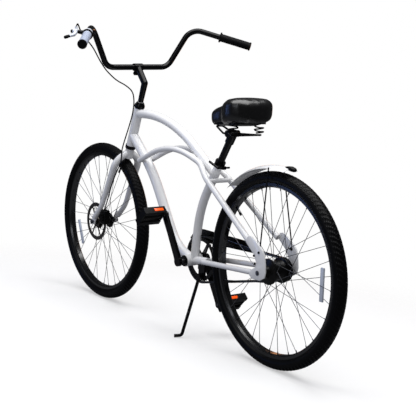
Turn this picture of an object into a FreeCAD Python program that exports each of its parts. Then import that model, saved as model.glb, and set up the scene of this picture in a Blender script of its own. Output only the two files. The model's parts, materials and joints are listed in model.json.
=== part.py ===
# Beach cruiser bicycle with balloon tyres, a swept-back handlebar, a short rear fender and a side stand.
# Millimetres. It is drawn upright, X forward from the rear axle, Y to the rider's left, Z up from the floor.
# The finished bicycle is then leaned on its side stand and moved to its origin on the floor.
import FreeCAD, Part
import math
import os

V = FreeCAD.Vector

# Driving dimensions of the whole bicycle
WHEELBASE = 1123.0
WHEEL_RADIUS = 333.0
TYRE_HALF = 27.0
LEAN = 5.0
HEAD_ANGLE = 69.5
SEAT_ANGLE = 57.5
RUNNING_FIT = 0.05
FACE_GAP = 0.3

# Frame tubes, by outer radius and wall
HEAD_TUBE_R = 18.5
HEAD_TUBE_WALL = 3.0
MAIN_TUBE_R = 17.0
DOWN_TUBE_R = 19.0
SEAT_TUBE_R = 15.9
TWIN_TUBE_R = 10.5
CHAIN_STAY_R = 9.5
SHELL_R = 21.5
SHELL_HALF = 35.0

# Places in the plane of symmetry
AXLE_Z = WHEEL_RADIUS
CRANK_X = 470.0
CRANK_Z = 283.0
HEAD_X = WHEELBASE - 234.0
HEAD_Z = 749.0
HEAD_TOP_Z = 826.0
HEAD_BOTTOM_Z = 674.0
SEAT_TOP_X = 315.5
SEAT_TOP_Z = 664.0

# Steering
STEERER_R = 12.7
QUILL_R = 11.1
BAR_R = 11.1
CUP_R = 21.0
TOP_NUT_H = 22.0
LOWER_CUP_H = 13.0
CROWN_Z = 622.0
LEG_R = 14.0
LEG_TIP_R = 10.5
FRONT_SPACING = 100.0
FORK_END_T = 5.0
GRIP_R = 16.0
GRIP_LENGTH = 130.0

# Wheels
RIM_HALF = 15.0
RIM_FLANGE_R = 293.5
RIM_INNER_R = 279.0
SPOKE_R = 1.0
SPOKE_COUNT = 36
AXLE_R = 4.76
ROTOR_R = 80.0
ROTOR_T = 2.0
ROTOR_Y = 38.0
REAR_SPACING = 120.0
DROPOUT_T = 6.0

# Drive
CHAIN_PITCH = 12.7
RING_TEETH = 44
SPROCKET_TEETH = 18
ROLLER_R = 3.9
CHAIN_Y = -43.0
CHAIN_INNER = 6.0
PLATE_T = 1.0
PLATE_HALF = 4.2
TOOTH_T = 2.4
TOOTH_GAP = 0.4
CRANK_LENGTH = 180.0
CRANK_RISE = 67.0
SPINDLE_R = 8.5
ARM_INNER_Y = 57.0
ARM_T = 13.0
ARM_OFFSET = 13.0
PEDAL_AXLE_R = 4.5
PEDAL_GAP = 12.0
PEDAL_WIDTH = 92.0
PEDAL_LENGTH = 76.0
PEDAL_H = 27.0
PEDAL_TILT = 45.0

# Saddle
POST_R = 12.7
POST_TOP = 112.0
POST_DEPTH = 150.0
POST_TRAVEL = 36.0
SADDLE_WIDTH = 198.0
SADDLE_REAR_Z = 816.0
SADDLE_NOSE_Z = 798.0
SADDLE_TOP_Z = 903.0
SADDLE_NOSE_TOP_Z = 858.0
SPRING_R = 15.0
SPRING_WIRE_R = 2.6
SPRING_TURNS = 2
RAIL_R = 3.5

# Side stand
STAND_X = 384.0
STAND_Y = 28.0
STAND_Z = 240.0
STAND_FOOT_X = 420.0
STAND_FOOT_Y = 75.0
STAND_TIP_X = 14.0
STAND_TIP_Y = 24.0
STAND_R = 6.0
STAND_PIN_R = 4.0

tread_lift = TYRE_HALF * (1 - math.cos(math.radians(LEAN)))
head_dir = V(-math.cos(math.radians(HEAD_ANGLE)), 0, math.sin(math.radians(HEAD_ANGLE)))
seat_dir = V(-math.cos(math.radians(SEAT_ANGLE)), 0, math.sin(math.radians(SEAT_ANGLE)))
ring_pitch_r = CHAIN_PITCH / (2 * math.sin(math.pi / RING_TEETH))
sprocket_pitch_r = CHAIN_PITCH / (2 * math.sin(math.pi / SPROCKET_TEETH))


def on_head(z, y=0.0):
    """The point of the steering axis at height z."""
    point = V(HEAD_X, 0, HEAD_Z) + head_dir * ((z - HEAD_Z) / head_dir.z)
    return V(point.x, y, point.z)


def on_seat(distance):
    """A point of the seat post's axis, a distance above the seat tube's mouth."""
    return V(SEAT_TOP_X, 0, SEAT_TOP_Z) + seat_dir * distance


def rod(start, end, radius):
    return Part.makeCylinder(radius, (end - start).Length, start, end - start)


def cone(start, end, start_r, end_r):
    return Part.makeCone(start_r, end_r, (end - start).Length, start, end - start)


def prism(start, end, radius, sides):
    """A thin straight wire with flat sides, for what repeats many times."""
    corners = [V(radius * math.cos(2 * math.pi * k / sides), radius * math.sin(2 * math.pi * k / sides), 0)
               for k in range(sides)]
    wire = Part.makePolygon(corners + [corners[0]])
    wire.Placement = FreeCAD.Placement(start, FreeCAD.Rotation(V(0, 0, 1), end - start))
    return Part.Face(wire).extrude(end - start)


def across(x, z, y_low, y_high, radius):
    """A round bar along Y."""
    return Part.makeCylinder(radius, y_high - y_low, V(x, y_low, z), V(0, 1, 0))


def fused(shapes):
    whole = shapes[0]
    for shape in shapes[1:]:
        whole = whole.fuse(shape)
    return whole.removeSplitter()


def route(points, radii):
    """Straight runs and tangent arcs: a list of ("run", a, b) and ("bend", a, b, centre, axis, angle)."""
    pieces = []
    here = points[0]
    for i, radius in enumerate(radii):
        corner = points[i + 1]
        before = (corner - points[i]).normalize()
        after = (points[i + 2] - corner).normalize()
        turn = before.getAngle(after)
        reach = radius * math.tan(turn / 2)
        start = corner - before * reach
        end = corner + after * reach
        axis = before.cross(after).normalize()
        centre = start + axis.cross(before) * radius
        pieces.append(("run", here, start))
        pieces.append(("bend", start, end, centre, axis, math.degrees(turn)))
        here = end
    pieces.append(("run", here, points[-1]))
    return pieces


def bent_bar(points, radii, radius, tip_radius=None, taper_run=None):
    """A round bar along a route. With tip_radius, it tapers over the straight run numbered taper_run."""
    solids = []
    now = radius
    runs = 0
    for piece in route(points, radii):
        if piece[0] == "run":
            if taper_run is not None and runs == taper_run:
                solids.append(cone(piece[1], piece[2], radius, tip_radius))
                now = tip_radius
            else:
                solids.append(rod(piece[1], piece[2], now))
            runs += 1
        else:
            start, end, centre, axis, angle = piece[1:]
            disc = Part.Face(Part.Wire(Part.makeCircle(now, start, axis.cross(start - centre))))
            solids.append(disc.revolve(centre, axis, angle))
    return fused(solids)


def turned(x, z, profile):
    """A solid of revolution about the line along Y through (x, z). The profile is a face-making
    wire of (radius, y) corners, where an entry of four numbers is an arc: its middle, then its end."""
    edges = []
    start = profile[0]
    here = V(x + start[0], start[1], z)
    first = here
    for corner in profile[1:] + [start]:
        end = V(x + corner[-2], corner[-1], z)
        if len(corner) == 4:
            middle = V(x + corner[0], corner[1], z)
            edges.append(Part.Arc(here, middle, end).toShape())
        elif (end - here).Length > 1e-6:
            edges.append(Part.LineSegment(here, end).toShape())
        here = end
    if (here - first).Length > 1e-6:
        edges.append(Part.LineSegment(here, first).toShape())
    return Part.Face(Part.Wire(edges)).revolve(V(x, 0, z), V(0, 1, 0), 360)


def plate_xz(points, y_low, y_high):
    """A flat plate with straight sides from its (x, z) corners."""
    corners = [V(x, y_low, z) for x, z in points]
    return Part.Face(Part.makePolygon(corners + [corners[0]])).extrude(V(0, y_high - y_low, 0))


def mirrored(shape):
    return shape.mirror(V(0, 0, 0), V(0, 1, 0))


def largest(shape):
    """What stays of a piece after its neighbours are cut away."""
    return max(shape.Solids, key=lambda solid: solid.Volume)


nodes = {}

# Frame: head tube, top tube, down tube and seat tube, welded end to side
head_low = on_head(HEAD_BOTTOM_Z)
head_high = on_head(HEAD_TOP_Z)
head_core = rod(head_low, head_high, HEAD_TUBE_R)
nodes["head_tube"] = head_core.cut(rod(head_low, head_high, HEAD_TUBE_R - HEAD_TUBE_WALL))

shell_core = across(CRANK_X, CRANK_Z, -SHELL_HALF, SHELL_HALF, SHELL_R)
SHELL_BORE_R = SHELL_R - 3.5
nodes["bottom_bracket_shell"] = shell_core.cut(
    across(CRANK_X, CRANK_Z, -SHELL_HALF, SHELL_HALF, SHELL_BORE_R))

SEAT_BEND_R = 370.0
SEAT_CORNER = V(429.3, 0, 485.3)
SEAT_FOOT = V(456.6, 0, 283.0)
seat_mouth = on_seat(0)
seat_points = [seat_mouth, SEAT_CORNER, SEAT_FOOT]
seat_core = bent_bar(seat_points, [SEAT_BEND_R], SEAT_TUBE_R).cut(shell_core)
seat_bore_end = on_seat(-POST_DEPTH)
nodes["seat_tube"] = seat_core.cut(rod(seat_bore_end, on_seat(1), POST_R + RUNNING_FIT))

TOP_TUBE_POINTS = [V(HEAD_X - 6, 0, HEAD_Z + 51), V(HEAD_X - 229, 0, HEAD_Z + 76), V(345, 0, 619)]
TOP_BEND_R = 597.0
top_tube = bent_bar(TOP_TUBE_POINTS, [TOP_BEND_R], MAIN_TUBE_R)
nodes["top_tube"] = largest(top_tube.cut(head_core).cut(seat_core))

DOWN_BEND_R = 617.0
DOWN_TUBE_POINTS = [on_head(HEAD_Z - 33), V(HEAD_X - 144.4, 0, HEAD_Z - 170.4), V(CRANK_X + 108.6, 0, CRANK_Z + 36.2),
                    V(CRANK_X, 0, CRANK_Z)]
down_tube = bent_bar(DOWN_TUBE_POINTS, [DOWN_BEND_R, 190.0], DOWN_TUBE_R)
nodes["down_tube"] = largest(down_tube.cut(head_core).cut(shell_core).cut(seat_core))

# Twin tubes: one long bend each side, from the down tube past the seat tube to the dropout
TWIN_Y = 27.5
DROPOUT_Y = REAR_SPACING / 2
twin_points = [V(HEAD_X - 81, TWIN_Y, 623), V(HEAD_X - 294, TWIN_Y, 712), V(400, TWIN_Y, 654), V(335, 48, 607),
               V(62, DROPOUT_Y + DROPOUT_T / 2, 430)]
twin_left = bent_bar(twin_points, [380.0, 110.0, 150.0], TWIN_TUBE_R)
twin_left = twin_left.cut(nodes["down_tube"]).cut(seat_core).cut(nodes["top_tube"])
twin_left = largest(twin_left)

# Chain stays run from a short yoke behind the bottom bracket to the dropouts
YOKE_X = 392.0
yoke = rod(V(CRANK_X, 0, CRANK_Z + 2), V(YOKE_X - 22, 0, CRANK_Z + 10), 15.0)
yoke = yoke.cut(shell_core).cut(seat_core)
nodes["chain_stay_yoke"] = yoke
stay_points = [V(YOKE_X, 8, CRANK_Z + 9), V(352, 41, CRANK_Z + 19),
               V(28, DROPOUT_Y + DROPOUT_T / 2, 328)]
stay_left = bent_bar(stay_points, [55.0], CHAIN_STAY_R).cut(yoke).cut(shell_core)
stay_left = largest(stay_left)

# Dropouts: tall plates with the axle slot, a rack eyelet above it and a fender eyelet
FENDER_EYE_X = -4.0
FENDER_EYE_Z = 402.0
RACK_HOLE_R = 2.5
RACK_X = 20.0
RACK_Z = 388.0
DROPOUT_CORNERS = [(44, 306), (70, 434), (46, 448), (24, 430), (2, 414), (-12, 408), (-10, 396), (4, 392),
                   (6, 360), (-20, 352), (-24, 322), (-8, 312), (10, 300)]
dropout = plate_xz(DROPOUT_CORNERS, DROPOUT_Y, DROPOUT_Y + DROPOUT_T)
SLOT_R = AXLE_R + 0.3
slot = across(0, AXLE_Z, 0, 100, SLOT_R)
slot = slot.fuse(plate_xz([(0, AXLE_Z - SLOT_R), (0, AXLE_Z + SLOT_R), (-40, AXLE_Z + SLOT_R),
                           (-40, AXLE_Z - SLOT_R)], 0, 100))
FENDER_HOLE_R = 2.5
dropout = dropout.cut(slot).cut(across(RACK_X, RACK_Z, 0, 100, RACK_HOLE_R))
dropout = dropout.cut(across(FENDER_EYE_X, FENDER_EYE_Z, 0, 100, FENDER_HOLE_R))
nodes["dropouts"] = Part.makeCompound([dropout, mirrored(dropout)])
stay_left = stay_left.cut(dropout)
twin_left = twin_left.cut(dropout).cut(stay_left)
nodes["lower_tube_left"] = twin_left
nodes["lower_tube_right"] = mirrored(twin_left)
nodes["chain_stays"] = Part.makeCompound([stay_left, mirrored(stay_left)])

BRIDGE_X = 314.0
BRIDGE_Z = 599.0
bridge = across(BRIDGE_X, BRIDGE_Z, -49, 49, 8.0)
nodes["stay_bridge"] = bridge.cut(twin_left).cut(nodes["lower_tube_right"])

# Headset: two pressed cups on the head tube and the cone nut that turns with the steerer
cup_bore_r = STEERER_R + RUNNING_FIT
UPPER_CUP_H = 4.0
cup_low = rod(head_low - head_dir * LOWER_CUP_H, head_low, CUP_R)
cup_high = cone(head_high, head_high + head_dir * UPPER_CUP_H, HEAD_TUBE_R, CUP_R)
steerer_bore = rod(on_head(CROWN_Z), on_head(HEAD_TOP_Z + 60), cup_bore_r)
nodes["headset_cups"] = Part.makeCompound([cup_low.cut(steerer_bore), cup_high.cut(steerer_bore)])
nodes["top_tube"] = largest(nodes["top_tube"].cut(rod(head_high, head_high + head_dir * UPPER_CUP_H, CUP_R + 0.1)))
nut_base = head_high + head_dir * (UPPER_CUP_H + FACE_GAP)
NUT_TOP_R = 13.5
nut_rim = nut_base + head_dir * 8
nut_top = nut_base + head_dir * TOP_NUT_H
nut = rod(nut_base, nut_rim, CUP_R).fuse(cone(nut_rim, nut_top, CUP_R, NUT_TOP_R))

# Fork: steerer with its crown stub, and two bent legs with flat ends
crown_low = on_head(CROWN_Z)
crown_high = head_low - head_dir * (LOWER_CUP_H + FACE_GAP)
steerer = rod(crown_low, nut_top, STEERER_R).fuse(rod(crown_low, crown_high, HEAD_TUBE_R - 1))
steerer = steerer.cut(rod(on_head(CROWN_Z + 30), nut_top, QUILL_R)).removeSplitter()
nodes["fork_steerer"] = steerer
nodes["headset_nut"] = nut.cut(rod(nut_base, nut_top, STEERER_R))
LEG_Y = 58.0
leg_points = [on_head(640, 10), on_head(612, 54), V(WHEELBASE - 75, LEG_Y, AXLE_Z + 75),
              V(WHEELBASE - 17, LEG_Y, AXLE_Z + 21)]
leg = bent_bar(leg_points, [60.0, 150.0], LEG_R, LEG_TIP_R, 1)
fork_end_y = FRONT_SPACING / 2
FORK_END = [(-38, 29), (-18, 47), (5, 19), (14, 2), (5, -13), (-11, -10), (-15, 5)]
fork_end = plate_xz([(WHEELBASE + ahead, AXLE_Z + up) for ahead, up in FORK_END], fork_end_y, fork_end_y + FORK_END_T)
axle_slot = across(WHEELBASE, AXLE_Z, 0, 100, SLOT_R)
leg = leg.fuse(fork_end).cut(axle_slot).cut(steerer).removeSplitter()
leg = largest(leg)
nodes["fork_legs"] = Part.makeCompound([leg, mirrored(leg)])

# Stem: quill, forged neck with a knee and the clamp that holds the handlebar
CLAMP_X = HEAD_X - 20.0
CLAMP_Z = 986.5
CLAMP_R = 14.5
CLAMP_HALF = 20.0
NECK_R = 13.0
knee = on_head(925)
clamp_centre = V(CLAMP_X, 0, CLAMP_Z)
quill = rod(on_head(CROWN_Z + 90), on_head(900), QUILL_R)
neck = fused([cone(nut_top, knee, QUILL_R, NECK_R), Part.makeSphere(NECK_R, knee),
              cone(knee, clamp_centre, NECK_R, NECK_R + 1)])
bar_core = across(CLAMP_X, CLAMP_Z, -60, 60, BAR_R)
clamp = across(CLAMP_X, CLAMP_Z, -CLAMP_HALF, CLAMP_HALF, CLAMP_R)
clamp_ear = Part.makeBox(12, 18, 24, V(CLAMP_X + 3, -9, CLAMP_Z - 32))
clamp_bolt = across(CLAMP_X + 9, CLAMP_Z - 24, -13, 13, 5.0)
nodes["stem"] = fused([quill, neck, clamp, clamp_ear, clamp_bolt]).cut(bar_core)

# Handlebar: one bent tube with a wide rise and long pullback
bar_low = V(CLAMP_X, 147, CLAMP_Z)
bar_high = V(HEAD_X - 59, 237.5, 1141.7)
bar_end = V(HEAD_X - 241.5, 398.5, 1070.5)
grip_dir = (bar_high - bar_end).normalize()
GRIP_CAP = 3.0
tube_end = bar_end + grip_dir * GRIP_CAP
bar_points = [tube_end, bar_high, bar_low] + [V(point.x, -point.y, point.z)
                                              for point in (bar_low, bar_high, tube_end)]
BAR_BENDS = [60.0, 52.0, 52.0, 60.0]
bar = bent_bar(bar_points, BAR_BENDS, BAR_R)
nodes["handlebar"] = bar

# Grips: moulded sleeves, closed at the end
grip_in = bar_end + grip_dir * GRIP_LENGTH
grip = fused([rod(bar_end, grip_in, GRIP_R), rod(grip_in - grip_dir * 6, grip_in, GRIP_R + 5),
              rod(bar_end, bar_end + grip_dir * 5, GRIP_R + 1.5)])
grip = grip.cut(rod(tube_end, grip_in + grip_dir * 5, BAR_R))
nodes["grips"] = Part.makeCompound([grip, mirrored(grip)])

# Brake lever: a clamp on the bar inboard of the left grip, its body ahead of the bar, and the blade
perch_mid = bar_end + grip_dir * (GRIP_LENGTH + 13)
perch_ahead = V(-grip_dir.y, grip_dir.x, 0).normalize()
perch_up = grip_dir.cross(perch_ahead).normalize()
pivot = perch_mid + perch_ahead * 42 + perch_up * 8
knob = pivot + perch_ahead * 18
cable_exit = pivot + perch_up * 15 + grip_dir * 8
blade_bend = pivot - grip_dir * 24 + perch_ahead * 5 - perch_up * 6
blade_tip = pivot - grip_dir * 72 + perch_ahead * 30 - perch_up * 3
perch = fused([rod(perch_mid - grip_dir * 9, perch_mid + grip_dir * 9, BAR_R + 5),
               cone(perch_mid + perch_ahead * 8, pivot, 7.5, 9.0), Part.makeSphere(9.0, pivot),
               rod(pivot, knob, 5.0), rod(pivot, cable_exit, 4.5), rod(pivot, blade_bend, 6.5),
               Part.makeSphere(6.5, blade_bend), cone(blade_bend, blade_tip, 6.5, 5.0),
               Part.makeSphere(6.0, blade_tip)])
nodes["brake_lever"] = perch.cut(rod(perch_mid - grip_dir * 20, perch_mid + grip_dir * 20, BAR_R))

# The stem stands a little out of line with the wheel, and all that it carries with it
BAR_TWIST = 4.0
for name in ("stem", "handlebar", "grips", "brake_lever"):
    nodes[name].rotate(V(HEAD_X, 0, HEAD_Z), head_dir, BAR_TWIST)
twist = FreeCAD.Placement(V(0, 0, 0), FreeCAD.Rotation(head_dir, BAR_TWIST), V(HEAD_X, 0, HEAD_Z))

# Disc brake caliper on the rear of the left leg, its slot round the rotor
CALIPER_X = WHEELBASE - 80.0
CALIPER_Z = AXLE_Z + 30.0
caliper = Part.makeBox(42, 28, 60, V(CALIPER_X - 21, 30, CALIPER_Z - 30))
caliper = caliper.makeFillet(6.0, caliper.Edges)
rotor_slot = turned(WHEELBASE, AXLE_Z, [(0, ROTOR_Y - 2.5), (ROTOR_R + 4, ROTOR_Y - 2.5),
                                       (ROTOR_R + 4, ROTOR_Y + 2.5), (0, ROTOR_Y + 2.5)])
cable_entry = V(CALIPER_X - 9, 49, CALIPER_Z + 38)
caliper = fused([caliper.cut(rotor_slot), across(CALIPER_X - 3, CALIPER_Z - 2, 50, 66, 13.0),
                 rod(V(CALIPER_X - 9, 49, CALIPER_Z + 20), cable_entry, 5.0)])
nodes["brake_caliper"] = largest(caliper.cut(leg))

# Brake cable from the lever to the caliper, in large arcs round the steering head
CABLE_R = 2.5
cable_points = [twist.multVec(cable_exit), twist.multVec(cable_exit + grip_dir * 34 + perch_up * 4),
                V(HEAD_X - 45, 268, 1100), V(HEAD_X - 27, 214, 1062), V(HEAD_X - 13, 172, 1007),
                V(HEAD_X - 14, 146, 972), V(HEAD_X - 21, 104, 934), V(HEAD_X - 22, 58, 914),
                V(HEAD_X - 18, 24, 890), V(HEAD_X - 7, 10, 850), V(HEAD_X + 12, 5, 797),
                V(HEAD_X + 38, 8, 738), V(HEAD_X + 56, 15, 687), V(HEAD_X + 38, 38, 650),
                V(HEAD_X + 14, 53, 608), V(HEAD_X + 35, 65, 560), V(HEAD_X + 66, 66, 509),
                V(WHEELBASE - 123, 58, 440), cable_entry]


def cord_radii(points):
    radii = []
    for i in range(1, len(points) - 1):
        before = points[i] - points[i - 1]
        after = points[i + 1] - points[i]
        turn = before.getAngle(after)
        radii.append(0.45 * min(before.Length, after.Length) / math.tan(turn / 2))
    return radii


cable_radii = cord_radii(cable_points)
cable = bent_bar(cable_points, cable_radii, CABLE_R)
cable = cable.cut(nodes["brake_lever"]).cut(nodes["brake_caliper"])
nodes["brake_cable"] = largest(cable)


# Wheels: rim, tyre, spokes and hub, each a body of revolution about its axle
def tyre(x):
    """A hollow tyre with flat bands round its section and beads that sit inside the rim's hooks."""
    middle_r = WHEEL_RADIUS - TYRE_HALF
    outside = [(middle_r + TYRE_HALF * math.cos(angle), TYRE_HALF * math.sin(angle))
               for angle in [math.radians(36 * step) for step in range(-3, 4)]]
    inside_half = TYRE_HALF - 4
    inside = [(middle_r + inside_half * math.cos(angle), inside_half * math.sin(angle))
              for angle in [math.radians(60 * step + 30) for step in range(1, -3, -1)]]
    bead = [(RIM_FLANGE_R + 3, RIM_HALF + 4), (RIM_FLANGE_R + 0.5, RIM_HALF - 2.2),
            (RIM_FLANGE_R - 6, RIM_HALF - 2.2), (RIM_FLANGE_R - 6, RIM_HALF - 6),
            (RIM_FLANGE_R + 2, RIM_HALF - 6)]
    return turned(x, AXLE_Z, outside + bead + inside + [(radius, -y) for radius, y in reversed(bead)])


def rim(x):
    half = [(RIM_INNER_R, 0), (RIM_INNER_R, 9), (RIM_INNER_R + 5, RIM_HALF), (RIM_FLANGE_R, RIM_HALF),
            (RIM_FLANGE_R, RIM_HALF - 2), (RIM_INNER_R + 6.5, RIM_HALF - 2), (RIM_INNER_R + 2.5, 8),
            (RIM_INNER_R + 2.5, 0)]
    other = [(radius, -y) for radius, y in reversed(half)]
    return turned(x, AXLE_Z, half + other[1:-1])


def spokes(x, flange_r, flange_left, flange_right, turn):
    """Spokes laced three-cross: each leaves its flange nearly along its edge and ends at the rim."""
    solids = []
    step = 2 * math.pi / SPOKE_COUNT
    for i in range(SPOKE_COUNT):
        left = i % 2 == 0
        trailing = 1 if (i // 2) % 2 == 0 else -1
        rim_angle = i * step + turn
        hub_angle = rim_angle + trailing * math.radians(62)
        flange_y = flange_left if left else flange_right
        hub_y = flange_y + trailing * 1.7
        side = 1 if left else -1
        hub_end = V(x + flange_r * math.cos(hub_angle), hub_y, AXLE_Z + flange_r * math.sin(hub_angle))
        rim_end = V(x + (RIM_INNER_R - FACE_GAP) * math.cos(rim_angle), side * 2.5,
                    AXLE_Z + (RIM_INNER_R - FACE_GAP) * math.sin(rim_angle))
        solids.append(prism(hub_end, rim_end, SPOKE_R, 8))
    return Part.makeCompound(solids)


hub_bore = AXLE_R + RUNNING_FIT
FRONT_FLANGE_Y = 26.0
FRONT_FLANGE_R = 27.0
front_hub = turned(WHEELBASE, AXLE_Z, [
    (hub_bore, -44), (12, -44), (12, -32), (17, -29), (FRONT_FLANGE_R + 4, -28), (FRONT_FLANGE_R + 4, -24),
    (18, -22), (15, -12), (15, 12), (18, 22), (FRONT_FLANGE_R + 4, 24), (FRONT_FLANGE_R + 4, 28),
    (22, 29), (22, ROTOR_Y - ROTOR_T / 2), (13, ROTOR_Y - ROTOR_T / 2), (13, 44), (hub_bore, 44)])
rear_hub = turned(0, AXLE_Z, [
    (hub_bore, -36), (17, -36), (17, -32), (44, -31), (44, -26), (36, -24), (33, -14), (33, 16),
    (38, 20), (44, 24), (44, 30), (36, 32), (22, 36), (16, 50), (hub_bore, 50)])

nodes["front_tyre"] = tyre(WHEELBASE)
nodes["front_rim"] = rim(WHEELBASE)
front_spokes = spokes(WHEELBASE, FRONT_FLANGE_R, FRONT_FLANGE_Y, -FRONT_FLANGE_Y, 0.0)
nodes["front_hub"] = front_hub
nodes["rear_tyre"] = tyre(0)
nodes["rear_rim"] = rim(0)
rear_spokes = spokes(0, 40.0, 27.0, -28.5, 0.04)
nodes["rear_hub"] = rear_hub
nodes["front_spokes"] = Part.makeCompound([largest(spoke.cut(front_hub)) for spoke in front_spokes.Solids])
nodes["rear_spokes"] = Part.makeCompound([largest(spoke.cut(rear_hub)) for spoke in rear_spokes.Solids])

# Rotor: braking band and six arms on the front hub's left side
rotor = turned(WHEELBASE, AXLE_Z, [(ROTOR_R - 16, ROTOR_Y - ROTOR_T / 2), (ROTOR_R, ROTOR_Y - ROTOR_T / 2),
                                   (ROTOR_R, ROTOR_Y + ROTOR_T / 2), (ROTOR_R - 16, ROTOR_Y + ROTOR_T / 2)])
carrier = turned(WHEELBASE, AXLE_Z, [(13.0, ROTOR_Y - ROTOR_T / 2), (24, ROTOR_Y - ROTOR_T / 2),
                                     (24, ROTOR_Y + ROTOR_T / 2), (13.0, ROTOR_Y + ROTOR_T / 2)])
rotor_parts = [rotor, carrier]
ROTOR_ARMS = 6
for i in range(ROTOR_ARMS):
    arm = Part.makeBox(ROTOR_R - 36, ROTOR_T, 7, V(21, ROTOR_Y - ROTOR_T / 2, -3.5))
    arm.rotate(V(0, 0, 0), V(0, 1, 0), 360.0 * i / ROTOR_ARMS)
    arm.translate(V(WHEELBASE, 0, AXLE_Z))
    rotor_parts.append(arm)
nodes["brake_rotor"] = fused(rotor_parts)

# Axles with their nuts, held by the fork ends and the dropouts
NUT_R = 8.5
NUT_T = 9.0


def axle(x, seat, plate, shoulder):
    """An axle between plates at seat, with the locknuts inside them and the axle nuts outside."""
    bar = across(x, AXLE_Z, -seat - plate - NUT_T - 2, seat + plate + NUT_T + 2, AXLE_R)
    solids = [bar]
    for side in (-1, 1):
        outer = sorted([side * (seat + plate), side * (seat + plate + NUT_T)])
        inner = sorted([side * shoulder, side * seat])
        solids.append(across(x, AXLE_Z, outer[0], outer[1], NUT_R))
        solids.append(across(x, AXLE_Z, inner[0], inner[1], NUT_R))
    return fused(solids)


nodes["front_axle"] = axle(WHEELBASE, fork_end_y, FORK_END_T, 44 + FACE_GAP)
nodes["rear_axle"] = axle(0, DROPOUT_Y, DROPOUT_T, 50 + FACE_GAP)

# Rear sprocket and chainring: toothed plates whose tips run just inside the chain's rollers


def toothed_plate(x, z, pitch_r, teeth, inner_r):
    tip_r = pitch_r - ROLLER_R - TOOTH_GAP
    root_r = tip_r - 4.5
    corners = []
    for i in range(teeth):
        middle = 2 * math.pi * i / teeth
        for share, radius in ((-0.36, root_r), (-0.12, tip_r), (0.12, tip_r), (0.36, root_r)):
            angle = middle + share * 2 * math.pi / teeth
            corners.append((x + radius * math.cos(angle), z + radius * math.sin(angle)))
    disc = plate_xz(corners, CHAIN_Y - TOOTH_T / 2, CHAIN_Y + TOOTH_T / 2)
    return disc.cut(across(x, z, CHAIN_Y - 5, CHAIN_Y + 5, inner_r))


sprocket = toothed_plate(0, AXLE_Z, sprocket_pitch_r, SPROCKET_TEETH, 14.0)
driver = across(0, AXLE_Z, -49, -36 - FACE_GAP, 16.0)
sprocket = fused([sprocket, driver]).cut(across(0, AXLE_Z, -60, -30, hub_bore))
nodes["sprocket"] = sprocket

crank_angle = math.radians(CRANK_RISE)
crank_dir = V(math.cos(crank_angle), 0, math.sin(crank_angle))
crank_centre = V(CRANK_X, 0, CRANK_Z)
left_eye = crank_centre + crank_dir * CRANK_LENGTH
right_eye = crank_centre - crank_dir * CRANK_LENGTH

RING_BAND_R = ring_pitch_r - 22.0
ring = toothed_plate(CRANK_X, CRANK_Z, ring_pitch_r, RING_TEETH, RING_BAND_R)
SPIDER_ARMS = 5
spider_low_y = CHAIN_Y - TOOTH_T / 2 - 3.5
spider_parts = [ring, across(CRANK_X, CRANK_Z, spider_low_y, CHAIN_Y + TOOTH_T / 2, 24.0)]
for i in range(SPIDER_ARMS):
    blade = plate_xz([(15, -9), (RING_BAND_R + 4, -5), (RING_BAND_R + 4, 5), (15, 9)],
                     spider_low_y, CHAIN_Y + TOOTH_T / 2)
    blade.rotate(V(0, 0, 0), V(0, 1, 0), 360.0 * i / SPIDER_ARMS + 90 - CRANK_RISE)
    blade.translate(crank_centre)
    spider_parts.append(blade)
spindle_end_y = ARM_INNER_Y + ARM_T - 3
chainring = fused(spider_parts).cut(across(CRANK_X, CRANK_Z, -90, 90, SPINDLE_R))
nodes["chainring"] = chainring


# Crank arms: tapered bars that lean outwards towards the pedal eye
def crank_arm():
    eye_y = ARM_INNER_Y + ARM_OFFSET
    boss = Part.makeCylinder(18, ARM_OFFSET + ARM_T, V(0, ARM_INNER_Y, 0), V(0, 1, 0))
    eye = Part.makeCylinder(12.5, ARM_OFFSET + ARM_T, V(CRANK_LENGTH, ARM_INNER_Y, 0), V(0, 1, 0))
    blade = plate_xz([(0, -15), (CRANK_LENGTH, -11), (CRANK_LENGTH, 11), (0, 15)],
                     ARM_INNER_Y, eye_y + ARM_T)
    slab_corners = [V(-30, ARM_INNER_Y, -30), V(20, ARM_INNER_Y, -30), V(CRANK_LENGTH - 14, eye_y, -30),
                    V(CRANK_LENGTH + 30, eye_y, -30), V(CRANK_LENGTH + 30, eye_y + ARM_T, -30),
                    V(CRANK_LENGTH - 14, eye_y + ARM_T, -30), V(20, ARM_INNER_Y + ARM_T, -30),
                    V(-30, ARM_INNER_Y + ARM_T, -30)]
    slab = Part.Face(Part.makePolygon(slab_corners + [slab_corners[0]])).extrude(V(0, 0, 60))
    arm = fused([boss, eye, blade]).common(slab)
    return arm.cut(Part.makeCylinder(PEDAL_AXLE_R, 60, V(CRANK_LENGTH, ARM_INNER_Y, 0), V(0, 1, 0)))


arm_left = crank_arm()
arm_left.rotate(V(0, 0, 0), V(0, 1, 0), -CRANK_RISE)
arm_left.translate(crank_centre)
arm_right = mirrored(crank_arm())
arm_right.rotate(V(0, 0, 0), V(0, 1, 0), 180 - CRANK_RISE)
arm_right.translate(crank_centre)
spindle = across(CRANK_X, CRANK_Z, -spindle_end_y, spindle_end_y, SPINDLE_R)
nodes["crank_arms"] = Part.makeCompound([arm_left.cut(spindle), arm_right.cut(spindle)])
nodes["crank_spindle"] = spindle

cup = turned(CRANK_X, CRANK_Z, [(SPINDLE_R + RUNNING_FIT, SHELL_HALF - 12), (SHELL_BORE_R, SHELL_HALF - 12),
                                (SHELL_BORE_R, SHELL_HALF), (SHELL_R - 1, SHELL_HALF),
                                (SHELL_R - 1, SHELL_HALF + 4), (SPINDLE_R + RUNNING_FIT, SHELL_HALF + 4)])
nodes["bottom_bracket_cups"] = Part.makeCompound([cup, mirrored(cup)])

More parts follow.
